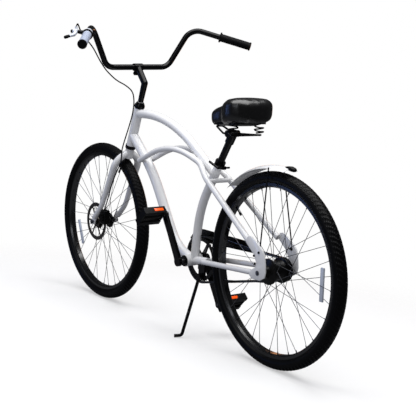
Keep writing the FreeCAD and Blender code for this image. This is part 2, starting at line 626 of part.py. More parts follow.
# Pedals: a barrel on the axle carries two tread bars between end plates
eye_outer_y = ARM_INNER_Y + ARM_OFFSET + ARM_T
pedal_low_y = eye_outer_y + PEDAL_GAP
pedal_high_y = pedal_low_y + PEDAL_WIDTH


def pedal_axle(eye):
    shaft = across(eye.x, eye.z, ARM_INNER_Y + ARM_OFFSET, pedal_high_y - 8, PEDAL_AXLE_R)
    collar = across(eye.x, eye.z, eye_outer_y, eye_outer_y + PEDAL_GAP - 3, 8.0)
    return shaft.fuse(collar).removeSplitter()


def pedal_body(eye):
    half_x = PEDAL_LENGTH / 2
    half_z = PEDAL_H / 2
    barrel = across(0, 0, pedal_low_y, pedal_high_y, 11.0)
    parts = [barrel]
    for end_y in (pedal_low_y, pedal_high_y - 7):
        parts.append(Part.makeBox(PEDAL_LENGTH, 7, PEDAL_H - 4, V(-half_x, end_y, -half_z + 2)))
    for side in (-1, 1):
        x = side * (half_x - 9) - 9
        parts.append(Part.makeBox(18, PEDAL_WIDTH, PEDAL_H, V(x, pedal_low_y, -half_z)))
    body = fused(parts).cut(across(0, 0, pedal_low_y - 1, pedal_high_y - 7, PEDAL_AXLE_R + RUNNING_FIT))
    body.rotate(V(0, 0, 0), V(0, 1, 0), PEDAL_TILT)
    body.translate(V(eye.x, 0, eye.z))
    return body


nodes["pedal_axles"] = Part.makeCompound([pedal_axle(left_eye), mirrored(pedal_axle(right_eye))])
nodes["pedal_body_left"] = pedal_body(left_eye)
nodes["pedal_body_right"] = mirrored(pedal_body(right_eye))


# Chain: rollers on pins between two side plates, one closed loop round the ring and the sprocket
def chain_outline(offset):
    """The closed line round both sprockets, offset from the pitch line."""
    big = V(CRANK_X, 0, CRANK_Z)
    small = V(0, 0, AXLE_Z)
    span = big - small
    tilt = math.atan2(span.z, span.x)
    spread = math.acos((sprocket_pitch_r - ring_pitch_r) / span.Length)
    big_r = ring_pitch_r + offset
    small_r = sprocket_pitch_r + offset
    up = V(math.cos(tilt + spread), 0, math.sin(tilt + spread))
    down = V(math.cos(tilt - spread), 0, math.sin(tilt - spread))
    front = V(math.cos(tilt), 0, math.sin(tilt))
    return [Part.Arc(big + down * big_r, big + front * big_r, big + up * big_r).toShape(),
            Part.LineSegment(big + up * big_r, small + up * small_r).toShape(),
            Part.Arc(small + up * small_r, small - front * small_r, small + down * small_r).toShape(),
            Part.LineSegment(small + down * small_r, big + down * big_r).toShape()]


def chain_plate(y):
    outer = Part.Face(Part.Wire(chain_outline(PLATE_HALF)))
    inner = Part.Face(Part.Wire(chain_outline(-PLATE_HALF)))
    face = outer.cut(inner)
    face.translate(V(0, y, 0))
    return face.extrude(V(0, PLATE_T, 0))


pitch_line = Part.Wire(chain_outline(0))
link_count = 2 * round(pitch_line.Length / CHAIN_PITCH / 2)
pin_places = pitch_line.discretize(link_count + 1)[:-1]
chain_parts = [chain_plate(CHAIN_Y - CHAIN_INNER / 2 - PLATE_T), chain_plate(CHAIN_Y + CHAIN_INNER / 2)]
for pin in pin_places:
    roller = Part.makePolygon([V(pin.x + ROLLER_R * math.cos(math.pi * k / 3),
                                 CHAIN_Y - CHAIN_INNER / 2 - PLATE_T / 2,
                                 pin.z + ROLLER_R * math.sin(math.pi * k / 3)) for k in range(7)])
    chain_parts.append(Part.Face(roller).extrude(V(0, CHAIN_INNER + PLATE_T, 0)))
chain = chain_parts[0].multiFuse(chain_parts[1:]).removeSplitter()
nodes["chain"] = chain

# Chain guard: a flat stick over the chain's upper run with a bracket to the seat tube
GUARD_Y = -54.5
GUARD_T = 1.6
guard_core = Part.Face(Part.Wire(Part.makeCircle(ring_pitch_r + 22, V(CRANK_X, GUARD_Y, CRANK_Z), V(0, 1, 0))))
guard_core = guard_core.extrude(V(0, GUARD_T, 0))
guard_window = plate_xz([(CRANK_X - 400, CRANK_Z - 200), (CRANK_X - 400, CRANK_Z + 62), (CRANK_X + 60, CRANK_Z + 70),
                         (CRANK_X + 400, CRANK_Z - 20), (CRANK_X + 400, CRANK_Z - 200)], GUARD_Y - 5, GUARD_Y + 5)
guard_tail = plate_xz([(CRANK_X, CRANK_Z + 62), (CRANK_X, CRANK_Z + ring_pitch_r + 22), (170, 392), (150, 384),
                       (150, 366), (170, 356)], GUARD_Y, GUARD_Y + GUARD_T)
guard = fused([guard_core.cut(guard_window), guard_tail])
BRACKET_X = 425.0
BRACKET_Z = 380.0
bracket = Part.makeBox(14, 48, 2.5, V(BRACKET_X, GUARD_Y + GUARD_T, BRACKET_Z)).cut(seat_core)
bracket = largest(bracket)
nodes["chain_guard"] = fused([guard, bracket])

# Rear fender: a short crowned sheet over the tyre, its two wire stays and the tail piece
FENDER_R = WHEEL_RADIUS + 9.0
FENDER_HALF = 31.0
FENDER_CROWN = 11.0
FENDER_T = 1.5
FENDER_FRONT = 47.0
FENDER_REAR = 100.0


def fender_sector(profile, start, end):
    """The part of a turned ring between two angles, measured up from straight ahead."""
    edges = []
    here = None
    for corner in profile:
        end_point = V(corner[-2], corner[-1], 0)
        if here is not None:
            if len(corner) == 4:
                edges.append(Part.Arc(here, V(corner[0], corner[1], 0), end_point).toShape())
            else:
                edges.append(Part.LineSegment(here, end_point).toShape())
        here = end_point
    wire = Part.Wire(edges)
    wire.rotate(V(0, 0, 0), V(0, 1, 0), -start)
    wire.translate(V(0, 0, AXLE_Z))
    return Part.Face(wire).revolve(V(0, 0, AXLE_Z), V(0, 1, 0), start - end)


fender_profile = [(FENDER_R, -FENDER_HALF), (FENDER_R + FENDER_CROWN, 0, FENDER_R, FENDER_HALF),
                  (FENDER_R, FENDER_HALF - FENDER_T),
                  (FENDER_R + FENDER_CROWN - FENDER_T, 0, FENDER_R, -FENDER_HALF + FENDER_T),
                  (FENDER_R, -FENDER_HALF)]
nodes["rear_fender"] = fender_sector(fender_profile, FENDER_FRONT, FENDER_REAR)

STAY_WIRE_R = 2.3
STAY_TOP_X = 12.0
stay_top_z = AXLE_Z + math.sqrt(FENDER_R ** 2 - STAY_TOP_X ** 2)
stay_wire_y = FENDER_HALF + STAY_WIRE_R + 0.1
stay_foot_y = DROPOUT_Y + DROPOUT_T
fender_stay = bent_bar([V(STAY_TOP_X, stay_wire_y, stay_top_z + 4), V(STAY_TOP_X, stay_wire_y, stay_top_z - 8),
                        V(FENDER_EYE_X, stay_foot_y + 4.6, FENDER_EYE_Z)], [10.0], STAY_WIRE_R)
fender_stay = fused([fender_stay, across(FENDER_EYE_X, FENDER_EYE_Z, stay_foot_y, stay_foot_y + 7, 6.0),
                     across(FENDER_EYE_X, FENDER_EYE_Z, DROPOUT_Y - 2, stay_foot_y + 3, FENDER_HOLE_R - RUNNING_FIT),
                     across(FENDER_EYE_X, FENDER_EYE_Z, stay_foot_y + 6, stay_foot_y + 10, 4.5)])
nodes["fender_stays"] = Part.makeCompound([fender_stay, mirrored(fender_stay)])
tail_profile = [(FENDER_R - 1, -9), (FENDER_R + FENDER_CROWN + 8, 0, FENDER_R - 1, 9), (FENDER_R - 1, -9)]
nodes["fender_tail"] = fender_sector(tail_profile, FENDER_REAR - 5, FENDER_REAR + 4).cut(nodes["rear_fender"])

# Seat clamp with its quick-release lever, seat post and saddle
collar = rod(on_seat(-14), on_seat(4), SEAT_TUBE_R + 3.5).cut(rod(on_seat(-14), on_seat(0), SEAT_TUBE_R))
collar = collar.cut(rod(on_seat(-1), on_seat(5), POST_R + RUNNING_FIT))
skewer = across(on_seat(-5).x - 22, on_seat(-5).z - 14, -26, 26, 3.5)
ears = Part.makeBox(24, 14, 12, V(on_seat(-5).x - 28, -7, on_seat(-5).z - 20))
lever = rod(V(on_seat(-5).x - 22, 24, on_seat(-5).z - 14), V(on_seat(-5).x + 20, 32, on_seat(-5).z + 6), 4.5)
seat_clamp = fused([collar, ears, skewer, lever]).cut(seat_core)
seat_clamp = seat_clamp.cut(rod(on_seat(-20), on_seat(8), POST_R + RUNNING_FIT))
nodes["seat_clamp"] = largest(seat_clamp)

post_top = on_seat(POST_TOP)
nodes["seat_post"] = rod(on_seat(-POST_DEPTH + POST_TRAVEL), post_top, POST_R)

SADDLE_REAR_X = 102.0
SADDLE_WIDE_X = 173.0
SADDLE_NECK_X = 284.0
SADDLE_NOSE_X = 361.0
NOSE_HALF = 31.0
PAN_T = 4.0
PAN_INSET = 6.0


def under_saddle(x):
    """Height of the cover's lower edge, which falls from the tail to the nose."""
    share = (x - SADDLE_REAR_X) / (SADDLE_NOSE_X - SADDLE_REAR_X)
    return SADDLE_REAR_Z + share * (SADDLE_NOSE_Z - SADDLE_REAR_Z)


def saddle_plan(inset):
    """A broad tail that narrows through the neck to a short straight nose, seen from above."""
    half = SADDLE_WIDTH / 2 - inset
    nose = NOSE_HALF - inset
    rear = SADDLE_REAR_X + inset
    front = SADDLE_NOSE_X - inset
    left = [V(rear, 0, 0), V(rear + 20, half * 0.74, 0), V(SADDLE_WIDE_X, half, 0),
            V(SADDLE_WIDE_X + 62, half * 0.76, 0), V(SADDLE_NECK_X, nose + 4, 0), V(front - 16, nose, 0),
            V(front, 0, 0)]
    right = [V(point.x, -point.y, 0) for point in left]
    edges = [Part.Arc(left[0], left[1], left[2]).toShape(), Part.Arc(left[2], left[3], left[4]).toShape(),
             Part.LineSegment(left[4], left[5]).toShape(),
             Part.Arc(left[5], left[6], right[5]).toShape(), Part.LineSegment(right[5], right[4]).toShape(),
             Part.Arc(right[4], right[3], right[2]).toShape(), Part.Arc(right[2], right[1], right[0]).toShape()]
    plan = Part.Face(Part.Wire(edges)).extrude(V(0, 0, 200))
    plan.translate(V(0, 0, SADDLE_NOSE_Z - 40))
    return plan


SIDE_Y = 200.0
rear_x = SADDLE_REAR_X - 20
front_x = SADDLE_NOSE_X + 20
side_points = [V(rear_x, -SIDE_Y, under_saddle(rear_x)), V(rear_x, -SIDE_Y, SADDLE_TOP_Z - 10),
               V(SADDLE_WIDE_X, -SIDE_Y, SADDLE_TOP_Z), V(SADDLE_NECK_X - 20, -SIDE_Y, SADDLE_TOP_Z - 22),
               V(front_x, -SIDE_Y, SADDLE_NOSE_TOP_Z), V(front_x, -SIDE_Y, under_saddle(front_x))]
side_edges = [Part.LineSegment(side_points[0], side_points[1]).toShape(),
              Part.Arc(side_points[1], side_points[2], side_points[3]).toShape(),
              Part.LineSegment(side_points[3], side_points[4]).toShape(),
              Part.LineSegment(side_points[4], side_points[5]).toShape(),
              Part.LineSegment(side_points[5], side_points[0]).toShape()]
side = Part.Face(Part.Wire(side_edges)).extrude(V(0, 2 * SIDE_Y, 0))
crown_half = SADDLE_WIDTH / 2 + 10
crown_low = SADDLE_NOSE_Z - 10
crown_edge = SADDLE_TOP_Z - 36
crown_edges = [Part.Arc(V(0, -crown_half, crown_edge), V(0, 0, SADDLE_TOP_Z + 1),
                        V(0, crown_half, crown_edge)).toShape(),
               Part.LineSegment(V(0, crown_half, crown_edge), V(0, crown_half, crown_low)).toShape(),
               Part.LineSegment(V(0, crown_half, crown_low), V(0, -crown_half, crown_low)).toShape(),
               Part.LineSegment(V(0, -crown_half, crown_low), V(0, -crown_half, crown_edge)).toShape()]
crown = Part.Face(Part.Wire(crown_edges)).extrude(V(500, 0, 0))
nodes["saddle_cover"] = saddle_plan(0.0).common(side).common(crown)
pan_band = plate_xz([(rear_x, under_saddle(rear_x) - FACE_GAP), (front_x, under_saddle(front_x) - FACE_GAP),
                     (front_x, under_saddle(front_x) - FACE_GAP - PAN_T),
                     (rear_x, under_saddle(rear_x) - FACE_GAP - PAN_T)], -SIDE_Y, SIDE_Y)
nodes["saddle_pan"] = saddle_plan(PAN_INSET).common(pan_band)

# Clamp on the post and the wire frame from the springs to the nose
SPRING_X = 176.0
SPRING_Y = 56.0
SPRING_LOW_Z = 770.0
RAIL_Y = 21.0
rail_nose_x = SADDLE_NOSE_X - 34
rail_nose_z = under_saddle(rail_nose_x + RAIL_R) - FACE_GAP - PAN_T
clamp_at = post_top + V(-4, 0, 12)
post_core = rod(on_seat(POST_TOP - 60), post_top, POST_R)
wire_left = [V(SPRING_X - 6, SPRING_Y, SPRING_LOW_Z), V(SPRING_X + 30, 38, SPRING_LOW_Z),
             V(clamp_at.x - 14, RAIL_Y, clamp_at.z), V(clamp_at.x + 26, RAIL_Y, clamp_at.z),
             V(rail_nose_x, 14, rail_nose_z - RAIL_R)]
wire_right = [V(point.x, -point.y, point.z) for point in reversed(wire_left)]
seat_wire = bent_bar(wire_left + wire_right, [14.0, 12.0, 12.0, 8.0, 8.0, 12.0, 12.0, 14.0], RAIL_R)
seat_wire = fused([seat_wire, across(SPRING_X, SPRING_LOW_Z, -SPRING_Y - 9, SPRING_Y + 9, RAIL_R)])
nodes["saddle_frame"] = largest(seat_wire.cut(nodes["saddle_pan"]))
nodes["saddle_clamp"] = fused([across(clamp_at.x, clamp_at.z, -RAIL_Y - 5, RAIL_Y + 5, 12.0),
                               rod(on_seat(POST_TOP - 24), on_seat(POST_TOP + 10), 16.0)]
                              ).cut(post_core).cut(seat_wire)


def coil_spring(x, y, low, high):
    """A helical spring as half turns, each a flat half ring that climbs half the pitch."""
    half_turns = 2 * SPRING_TURNS
    climb = (high - low - 2 * SPRING_WIRE_R) / half_turns
    solids = []
    z = low + SPRING_WIRE_R
    side = 1
    for i in range(half_turns):
        start = V(x + side * SPRING_R, y, z)
        end = V(x - side * SPRING_R, y, z + climb)
        centre = (start + end) * 0.5
        radius_line = start - centre
        heading = V(0, side, 0)
        axis = radius_line.cross(heading).normalize()
        disc = Part.makePolygon([start + radius_line.normalize() * (SPRING_WIRE_R * math.cos(math.pi * k / 4))
                                 + axis * (SPRING_WIRE_R * math.sin(math.pi * k / 4)) for k in range(9)])
        disc = Part.Face(disc)
        solids.append(disc.revolve(centre, axis, 180))
        z += climb
        side = -side
    return fused(solids)


spring_low = SPRING_LOW_Z + RAIL_R
spring_high = under_saddle(SPRING_X + SPRING_R + SPRING_WIRE_R) - PAN_T - FACE_GAP
spring = coil_spring(SPRING_X, SPRING_Y, spring_low, spring_high)
nodes["saddle_springs"] = Part.makeCompound([spring, mirrored(spring)])

# Side stand: a bracket under the chain stay yoke and one bent leg that turns on its pin
stand_pivot = V(STAND_X, STAND_Y, STAND_Z)
BRACKET_HALF = 20.0
bracket_parts = [Part.makeBox(40, 2 * BRACKET_HALF, 18, V(STAND_X - 18, -BRACKET_HALF, CRANK_Z - 20)),
                 Part.makeBox(36, 8, 38, V(STAND_X - 18, 12, STAND_Z - 14)),
                 rod(V(STAND_X, 12, STAND_Z), V(STAND_X, STAND_Y + 7, STAND_Z), STAND_PIN_R)]
nodes["stand_bracket"] = fused(bracket_parts).cut(yoke).cut(nodes["chain_stays"])
foot_rise = math.sin(math.radians(LEAN)) * STAND_FOOT_Y + tread_lift - TYRE_HALF
foot_floor = TYRE_HALF + foot_rise / math.cos(math.radians(LEAN))
foot_centre = V(STAND_FOOT_X, STAND_FOOT_Y, foot_floor + STAND_R)
foot_tip = foot_centre + V(STAND_TIP_X, STAND_TIP_Y, STAND_TIP_Y * math.tan(math.radians(LEAN)))
stand_leg = bent_bar([stand_pivot, foot_centre + V(0, 0, 4), foot_tip], [12.0], STAND_R)
boss = across(STAND_X, STAND_Z, 20 + FACE_GAP, STAND_Y + 7, 11.0)
stand_leg = fused([stand_leg, boss])
nodes["kickstand"] = stand_leg.cut(across(STAND_X, STAND_Z, 0, STAND_Y + 20, STAND_PIN_R + RUNNING_FIT))

# Lean on the stand about the tyres' lowest line, then move to the origin on the floor
lean = FreeCAD.Placement(V(0, 0, 0), FreeCAD.Rotation(V(1, 0, 0), -LEAN), V(0, 0, TYRE_HALF))
widest = Part.makeCompound([nodes["grips"], nodes["brake_lever"]])
widest.Placement = lean
across_box = widest.optimalBoundingBox(False)
origin = V(WHEELBASE / 2, (across_box.YMin + across_box.YMax) / 2, tread_lift)
place = FreeCAD.Placement(V(-origin.x, -origin.y, -origin.z), FreeCAD.Rotation()).multiply(lean)

if __name__ == "__main__":
    os.makedirs("parts", exist_ok=True)
    for name, shape in nodes.items():
        finished = shape.copy()
        finished.Placement = place.multiply(finished.Placement)
        finished.exportStep("parts/" + name + ".step")
        print(name, len(finished.Solids), finished.isValid(), round(finished.Volume))
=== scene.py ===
import math
import json

import bmesh
import bpy
from mathutils import Matrix, Vector

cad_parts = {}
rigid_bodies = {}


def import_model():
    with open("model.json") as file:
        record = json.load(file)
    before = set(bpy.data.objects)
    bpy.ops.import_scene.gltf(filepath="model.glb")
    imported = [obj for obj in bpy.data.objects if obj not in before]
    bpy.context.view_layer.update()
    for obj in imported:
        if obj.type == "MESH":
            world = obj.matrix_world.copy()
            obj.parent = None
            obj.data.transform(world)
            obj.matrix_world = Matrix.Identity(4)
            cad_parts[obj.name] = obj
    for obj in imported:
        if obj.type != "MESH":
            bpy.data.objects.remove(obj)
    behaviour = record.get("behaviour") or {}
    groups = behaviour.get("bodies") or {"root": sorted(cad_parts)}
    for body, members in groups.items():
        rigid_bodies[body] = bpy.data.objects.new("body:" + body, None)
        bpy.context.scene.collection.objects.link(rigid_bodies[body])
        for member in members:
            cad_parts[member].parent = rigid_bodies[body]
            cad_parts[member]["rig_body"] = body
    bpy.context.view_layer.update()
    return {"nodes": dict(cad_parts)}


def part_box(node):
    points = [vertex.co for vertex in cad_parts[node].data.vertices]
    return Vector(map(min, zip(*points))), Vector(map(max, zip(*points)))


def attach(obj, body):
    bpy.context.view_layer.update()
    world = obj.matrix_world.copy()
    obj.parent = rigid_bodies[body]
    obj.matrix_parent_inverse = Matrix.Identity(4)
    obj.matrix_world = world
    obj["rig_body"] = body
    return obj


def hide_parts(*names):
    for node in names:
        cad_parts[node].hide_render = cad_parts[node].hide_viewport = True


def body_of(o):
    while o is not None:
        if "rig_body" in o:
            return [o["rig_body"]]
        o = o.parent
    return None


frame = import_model()
scene = bpy.context.scene
nodes = frame["nodes"]

# Camera: a long lens behind the left rear corner, a little above the saddle.
# It looks along the bicycle, so the rear wheel is near and the front wheel far.
SENSOR_WIDTH = 36.0
LENS = 81.17
CAMERA_PLACE = (-2.87872, 1.98786, 0.82505)
CAMERA_RIGHT = (-0.59152, -0.80012, 0.09947)
CAMERA_AIM = (0.79426, -0.59948, -0.09885)
camera_data = bpy.data.cameras.new("camera")
camera_data.sensor_width = SENSOR_WIDTH
camera_data.lens = LENS
camera = bpy.data.objects.new("camera", camera_data)
scene.collection.objects.link(camera)
camera_right = Vector(CAMERA_RIGHT).normalized()
camera_back = -Vector(CAMERA_AIM).normalized()
camera_up = camera_back.cross(camera_right)
turn = Matrix((camera_right, camera_up, camera_back)).transposed().to_4x4()
camera.matrix_world = Matrix.Translation(CAMERA_PLACE) @ turn
scene.camera = camera
scene.view_settings.view_transform = "Standard"

# Studio: a white floor that fades into a white surround. A wide lamp hangs overhead and a long
# one stands at the side, so tubes are bright on top and grey below. Two weak strips, one cool
# and one warm, draw thin coloured edges on the black pieces.
FLOOR_R = 3.3
FADE_START = 0.95
FADE_END = 2.1
FLOOR_LIFT = 0.44
SURROUND = 0.42
SURROUND_IN_GLOSS = 0.06


def linear(code):
    """The linear colour of an sRGB hex value."""
    channels = [int(code[i:i + 2], 16) / 255 for i in (1, 3, 5)]
    return tuple(c / 12.92 if c <= 0.04045 else ((c + 0.055) / 1.055) ** 2.4 for c in channels) + (1.0,)


def add_node(tree, kind, values=None, links=None, **settings):
    """Adds one node with its settings, the values of its sockets and the links into them."""
    node = tree.nodes.new(kind)
    for name, value in settings.items():
        setattr(node, name, value)
    for socket, value in (values or {}).items():
        node.inputs[socket].default_value = value
    for socket, source in (links or {}).items():
        tree.links.new(source, node.inputs[socket])
    return node


def new_object(name, bm, material, body=None, smooth=True):
    """Makes a piece from a bmesh, in the row frame, and lets it ride on a body."""
    mesh = bpy.data.meshes.new(name)
    bm.to_mesh(mesh)
    bm.free()
    mesh.polygons.foreach_set("use_smooth", [smooth] * len(mesh.polygons))
    mesh.materials.append(material)
    piece = bpy.data.objects.new(name, mesh)
    scene.collection.objects.link(piece)
    if body:
        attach(piece, body)
    return piece


floor_material = bpy.data.materials.new("white studio floor")
floor_material.use_nodes = True
tree = floor_material.node_tree
tree.nodes.clear()
place = add_node(tree, "ShaderNodeTexCoord")
spread = add_node(tree, "ShaderNodeVectorMath", {}, {0: place.outputs["Object"]}, operation="LENGTH")
fade = add_node(tree, "ShaderNodeMapRange", {"From Min": FADE_START, "From Max": FADE_END},
                {"Value": spread.outputs["Value"]}, interpolation_type="SMOOTHSTEP")
path = add_node(tree, "ShaderNodeLightPath")
ground = add_node(tree, "ShaderNodeMix", {"A": linear("#8d8e92"), "B": linear("#f4f4f4")},
                  {"Factor": path.outputs["Is Camera Ray"]}, data_type="RGBA")
matt = add_node(tree, "ShaderNodeBsdfDiffuse", {}, {"Color": ground.outputs["Result"]})
lift = add_node(tree, "ShaderNodeEmission", {"Color": (1, 1, 1, 1)},
                {"Strength": path.outputs["Is Camera Ray"]})
lift_share = add_node(tree, "ShaderNodeMixShader", {0: FLOOR_LIFT},
                      {1: matt.outputs[0], 2: lift.outputs[0]})
clear = add_node(tree, "ShaderNodeBsdfTransparent")
blend = add_node(tree, "ShaderNodeMixShader", {},
                 {0: fade.outputs["Result"], 1: lift_share.outputs[0], 2: clear.outputs[0]})
add_node(tree, "ShaderNodeOutputMaterial", {}, {"Surface": blend.outputs[0]})
bm = bmesh.new()
bmesh.ops.create_circle(bm, cap_ends=True, segments=96, radius=FLOOR_R)
floor = new_object("floor", bm, floor_material)

world = bpy.data.worlds.new("white surround")
scene.world = world
world.use_nodes = True
tree = world.node_tree
tree.nodes.clear()
path = add_node(tree, "ShaderNodeLightPath")
seen = add_node(tree, "ShaderNodeMath", {},
                {0: path.outputs["Is Camera Ray"], 1: path.outputs["Is Transmission Ray"]},
                operation="MAXIMUM")
soft = add_node(tree, "ShaderNodeMix", {"A": SURROUND, "B": SURROUND_IN_GLOSS},
                {"Factor": path.outputs["Is Glossy Ray"]})
strength = add_node(tree, "ShaderNodeMix", {"B": 1.0},
                    {"Factor": seen.outputs[0], "A": soft.outputs["Result"]})
tint = add_node(tree, "ShaderNodeMix", {"A": linear("#f5f6fb"), "B": (1, 1, 1, 1)},
                {"Factor": seen.outputs[0]}, data_type="RGBA")
sky = add_node(tree, "ShaderNodeBackground", {},
               {"Strength": strength.outputs["Result"], "Color": tint.outputs["Result"]})
add_node(tree, "ShaderNodeOutputWorld", {}, {"Surface": sky.outputs[0]})

LAMPS = [
    {"name": "overhead lamp", "at": (-0.3, 0.2, 3.0), "aim": (0, 0, 0.3), "size": (3.0, 2.4),
     "watts": 100, "colour": "#ffffff"},
    {"name": "side lamp", "at": (-1.6, 3.0, 1.9), "aim": (0, 0, 0.6), "size": (0.7, 2.2),
     "watts": 11, "colour": "#f2f6ff"},
    {"name": "cool strip", "at": (1.9, 2.6, 0.9), "aim": (0.2, 0, 0.5), "size": (0.5, 2.2),
     "watts": 9, "colour": "#86aaff"},
    {"name": "warm strip", "at": (1.8, -2.4, 0.9), "aim": (0, 0, 0.1), "size": (1.4, 0.4),
     "watts": 4, "colour": "#ffb27a"},
]
for lamp in LAMPS:
    data = bpy.data.lights.new(lamp["name"], "AREA")
    data.shape = "RECTANGLE"
    data.size, data.size_y = lamp["size"]
    data.energy = lamp["watts"]
    data.color = linear(lamp["colour"])[:3]
    light = bpy.data.objects.new(lamp["name"], data)
    scene.collection.objects.link(light)
    light.location = lamp["at"]
    way = Vector(lamp["aim"]) - light.location
    light.rotation_euler = way.to_track_quat("-Z", "Y").to_euler()

# Frame, fork and fender: welded steel, sprayed in white gloss enamel over primer and baked. The
# bar, stem, post, cranks, stand and fender stays are steel in black gloss enamel, and the rolled
# rims have a glossier flow coat.
AXLE_HEIGHT = 333.0
WHEELBASE = 1123.0
LEAN = math.radians(-5.0)
CREASE = math.radians(34)
MERGE_DISTANCE = 0.00002
wheel_low, wheel_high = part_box("rear_rim")
REAR_AXLE = (wheel_low + wheel_high) / 2
# New pieces are made upright in millimetres, with X forward from the rear axle, Y to the left and
# Z up from the ground. This leans them over with the bicycle.
BIKE = (Matrix.Translation(REAR_AXLE) @ Matrix.Rotation(LEAN, 4, "X") @ Matrix.Scale(0.001, 4)
        @ Matrix.Translation((0, 0, -AXLE_HEIGHT)))


def new_material(name):
    """An empty node material."""
    material = bpy.data.materials.new(name)
    material.use_nodes = True
    material.node_tree.nodes.clear()
    return material


def output(tree, shader):
    """Joins the last shader to the material's surface."""
    add_node(tree, "ShaderNodeOutputMaterial", {}, {"Surface": shader.outputs[0]})


# White gloss enamel, sprayed and baked: a faint orange peel breaks up its soft highlights, and
# thin dust in the coat keeps the white from being even
white_enamel = new_material("white gloss enamel")
tree = white_enamel.node_tree
place = add_node(tree, "ShaderNodeTexCoord")
peel = add_node(tree, "ShaderNodeTexNoise", {"Scale": 420.0, "Detail": 1.0},
                {"Vector": place.outputs["Object"]})
dust = add_node(tree, "ShaderNodeTexNoise", {"Scale": 9.0, "Detail": 3.0},
                {"Vector": place.outputs["Object"]})
shade = add_node(tree, "ShaderNodeMix", {"A": linear("#e7e7e8"), "B": linear("#ededee")},
                 {"Factor": dust.outputs["Fac"]}, data_type="RGBA")
relief = add_node(tree, "ShaderNodeBump", {"Strength": 0.05, "Distance": 0.0006},
                  {"Height": peel.outputs["Fac"]})
output(tree, add_node(tree, "ShaderNodeBsdfPrincipled",
                      {"Roughness": 0.32, "Coat Weight": 0.5, "Coat Roughness": 0.06},
                      {"Base Color": shade.outputs["Result"], "Normal": relief.outputs["Normal"]}))

# Black gloss enamel, dipped: deep black with small clear highlights, dulled in patches by wear
black_enamel = new_material("black gloss enamel")
tree = black_enamel.node_tree
place = add_node(tree, "ShaderNodeTexCoord")
peel = add_node(tree, "ShaderNodeTexNoise", {"Scale": 380.0, "Detail": 1.0},
                {"Vector": place.outputs["Object"]})
wear = add_node(tree, "ShaderNodeTexNoise", {"Scale": 30.0, "Detail": 4.0},
                {"Vector": place.outputs["Object"]})
gloss = add_node(tree, "ShaderNodeMapRange", {"To Min": 0.16, "To Max": 0.28},
                 {"Value": wear.outputs["Fac"]})
relief = add_node(tree, "ShaderNodeBump", {"Strength": 0.05, "Distance": 0.0006},
                  {"Height": peel.outputs["Fac"]})
output(tree, add_node(tree, "ShaderNodeBsdfPrincipled",
                      {"Base Color": linear("#050506"), "Specular IOR Level": 0.25},
                      {"Roughness": gloss.outputs["Result"], "Normal": relief.outputs["Normal"]}))

# Black flow coated enamel: smoother than the dipped one, so it mirrors the lamps in thin lines
rim_enamel = new_material("black flow coated enamel")
tree = rim_enamel.node_tree
place = add_node(tree, "ShaderNodeTexCoord")
wear = add_node(tree, "ShaderNodeTexNoise", {"Scale": 24.0, "Detail": 3.0},
                {"Vector": place.outputs["Object"]})
gloss = add_node(tree, "ShaderNodeMapRange", {"To Min": 0.14, "To Max": 0.24},
                 {"Value": wear.outputs["Fac"]})
output(tree, add_node(tree, "ShaderNodeBsdfPrincipled",
                      {"Base Color": linear("#050507"), "Specular IOR Level": 1.0},
                      {"Roughness": gloss.outputs["Result"]}))


def paint(material, *names):
    """Gives CAD nodes their finish."""
    for name in names:
        nodes[name].data.materials.clear()
        nodes[name].data.materials.append(material)


def round_off(material, slot, *names):
    """A merged copy of each round CAD node, shaded smooth between its creases, stands for the node."""
    for name in names:
        bm = bmesh.new()
        bm.from_mesh(nodes[name].data)
        bmesh.ops.remove_doubles(bm, verts=bm.verts, dist=MERGE_DISTANCE)
        for edge in bm.edges:
            edge.smooth = len(edge.link_faces) == 2 and edge.calc_face_angle() < CREASE
        piece = new_object(name + "_finish", bm, material, body_of(nodes[name])[0])
        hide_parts(name)


round_off(white_enamel, "frame_paint", "head_tube", "top_tube", "down_tube", "seat_tube",
          "lower_tube_left", "lower_tube_right", "stay_bridge", "bottom_bracket_shell",
          "chain_stay_yoke", "chain_stays", "rear_fender", "fork_steerer", "fork_legs")
round_off(black_enamel, "black_paint", "headset_cups", "headset_nut", "stem", "handlebar",
          "seat_post", "saddle_frame", "saddle_springs", "crank_arms", "kickstand", "fender_stays",
          "bottom_bracket_cups", "brake_caliper")
round_off(rim_enamel, "rim_black", "front_rim", "rear_rim")
paint(black_enamel, "saddle_clamp", "chainring", "seat_clamp", "stand_bracket")

# Tyres: wide moulded rubber with slanted tread blocks over the crown and smooth sidewalls. Their
# beads sit in the hooks of the rims.
TYRE_R = 333.0
TYRE_HALF = 27.0
TYRE_STEPS = 144
TREAD_DEPTH = 0.9
TREAD_SINK = 0.7
BEAD_AND_WALL = [(287.6, 9.2), (287.6, 12.6), (293.8, 12.9), (295.2, 16.4), (299.5, 21.6),
                 (304.5, 24.4)]
CROWN_ANGLES = range(84, -1, -12)
TREAD_ROWS = [
    {"lean": 0, "wide": 5.4, "long": 15.6, "slant": 34, "shift": 0.0},
    {"lean": 13, "wide": 5.2, "long": 15.6, "slant": 30, "shift": 0.35},
    {"lean": 26, "wide": 5.0, "long": 15.2, "slant": 22, "shift": 0.65},
    {"lean": 39, "wide": 4.8, "long": 14.4, "slant": 12, "shift": 0.85},
    {"lean": 53, "wide": 4.4, "long": 13.0, "slant": 4, "shift": 0.0},
]
BLOCKS_IN_ROW = 120
BLOCK_TOP = (0.88, 0.8, 1.0)

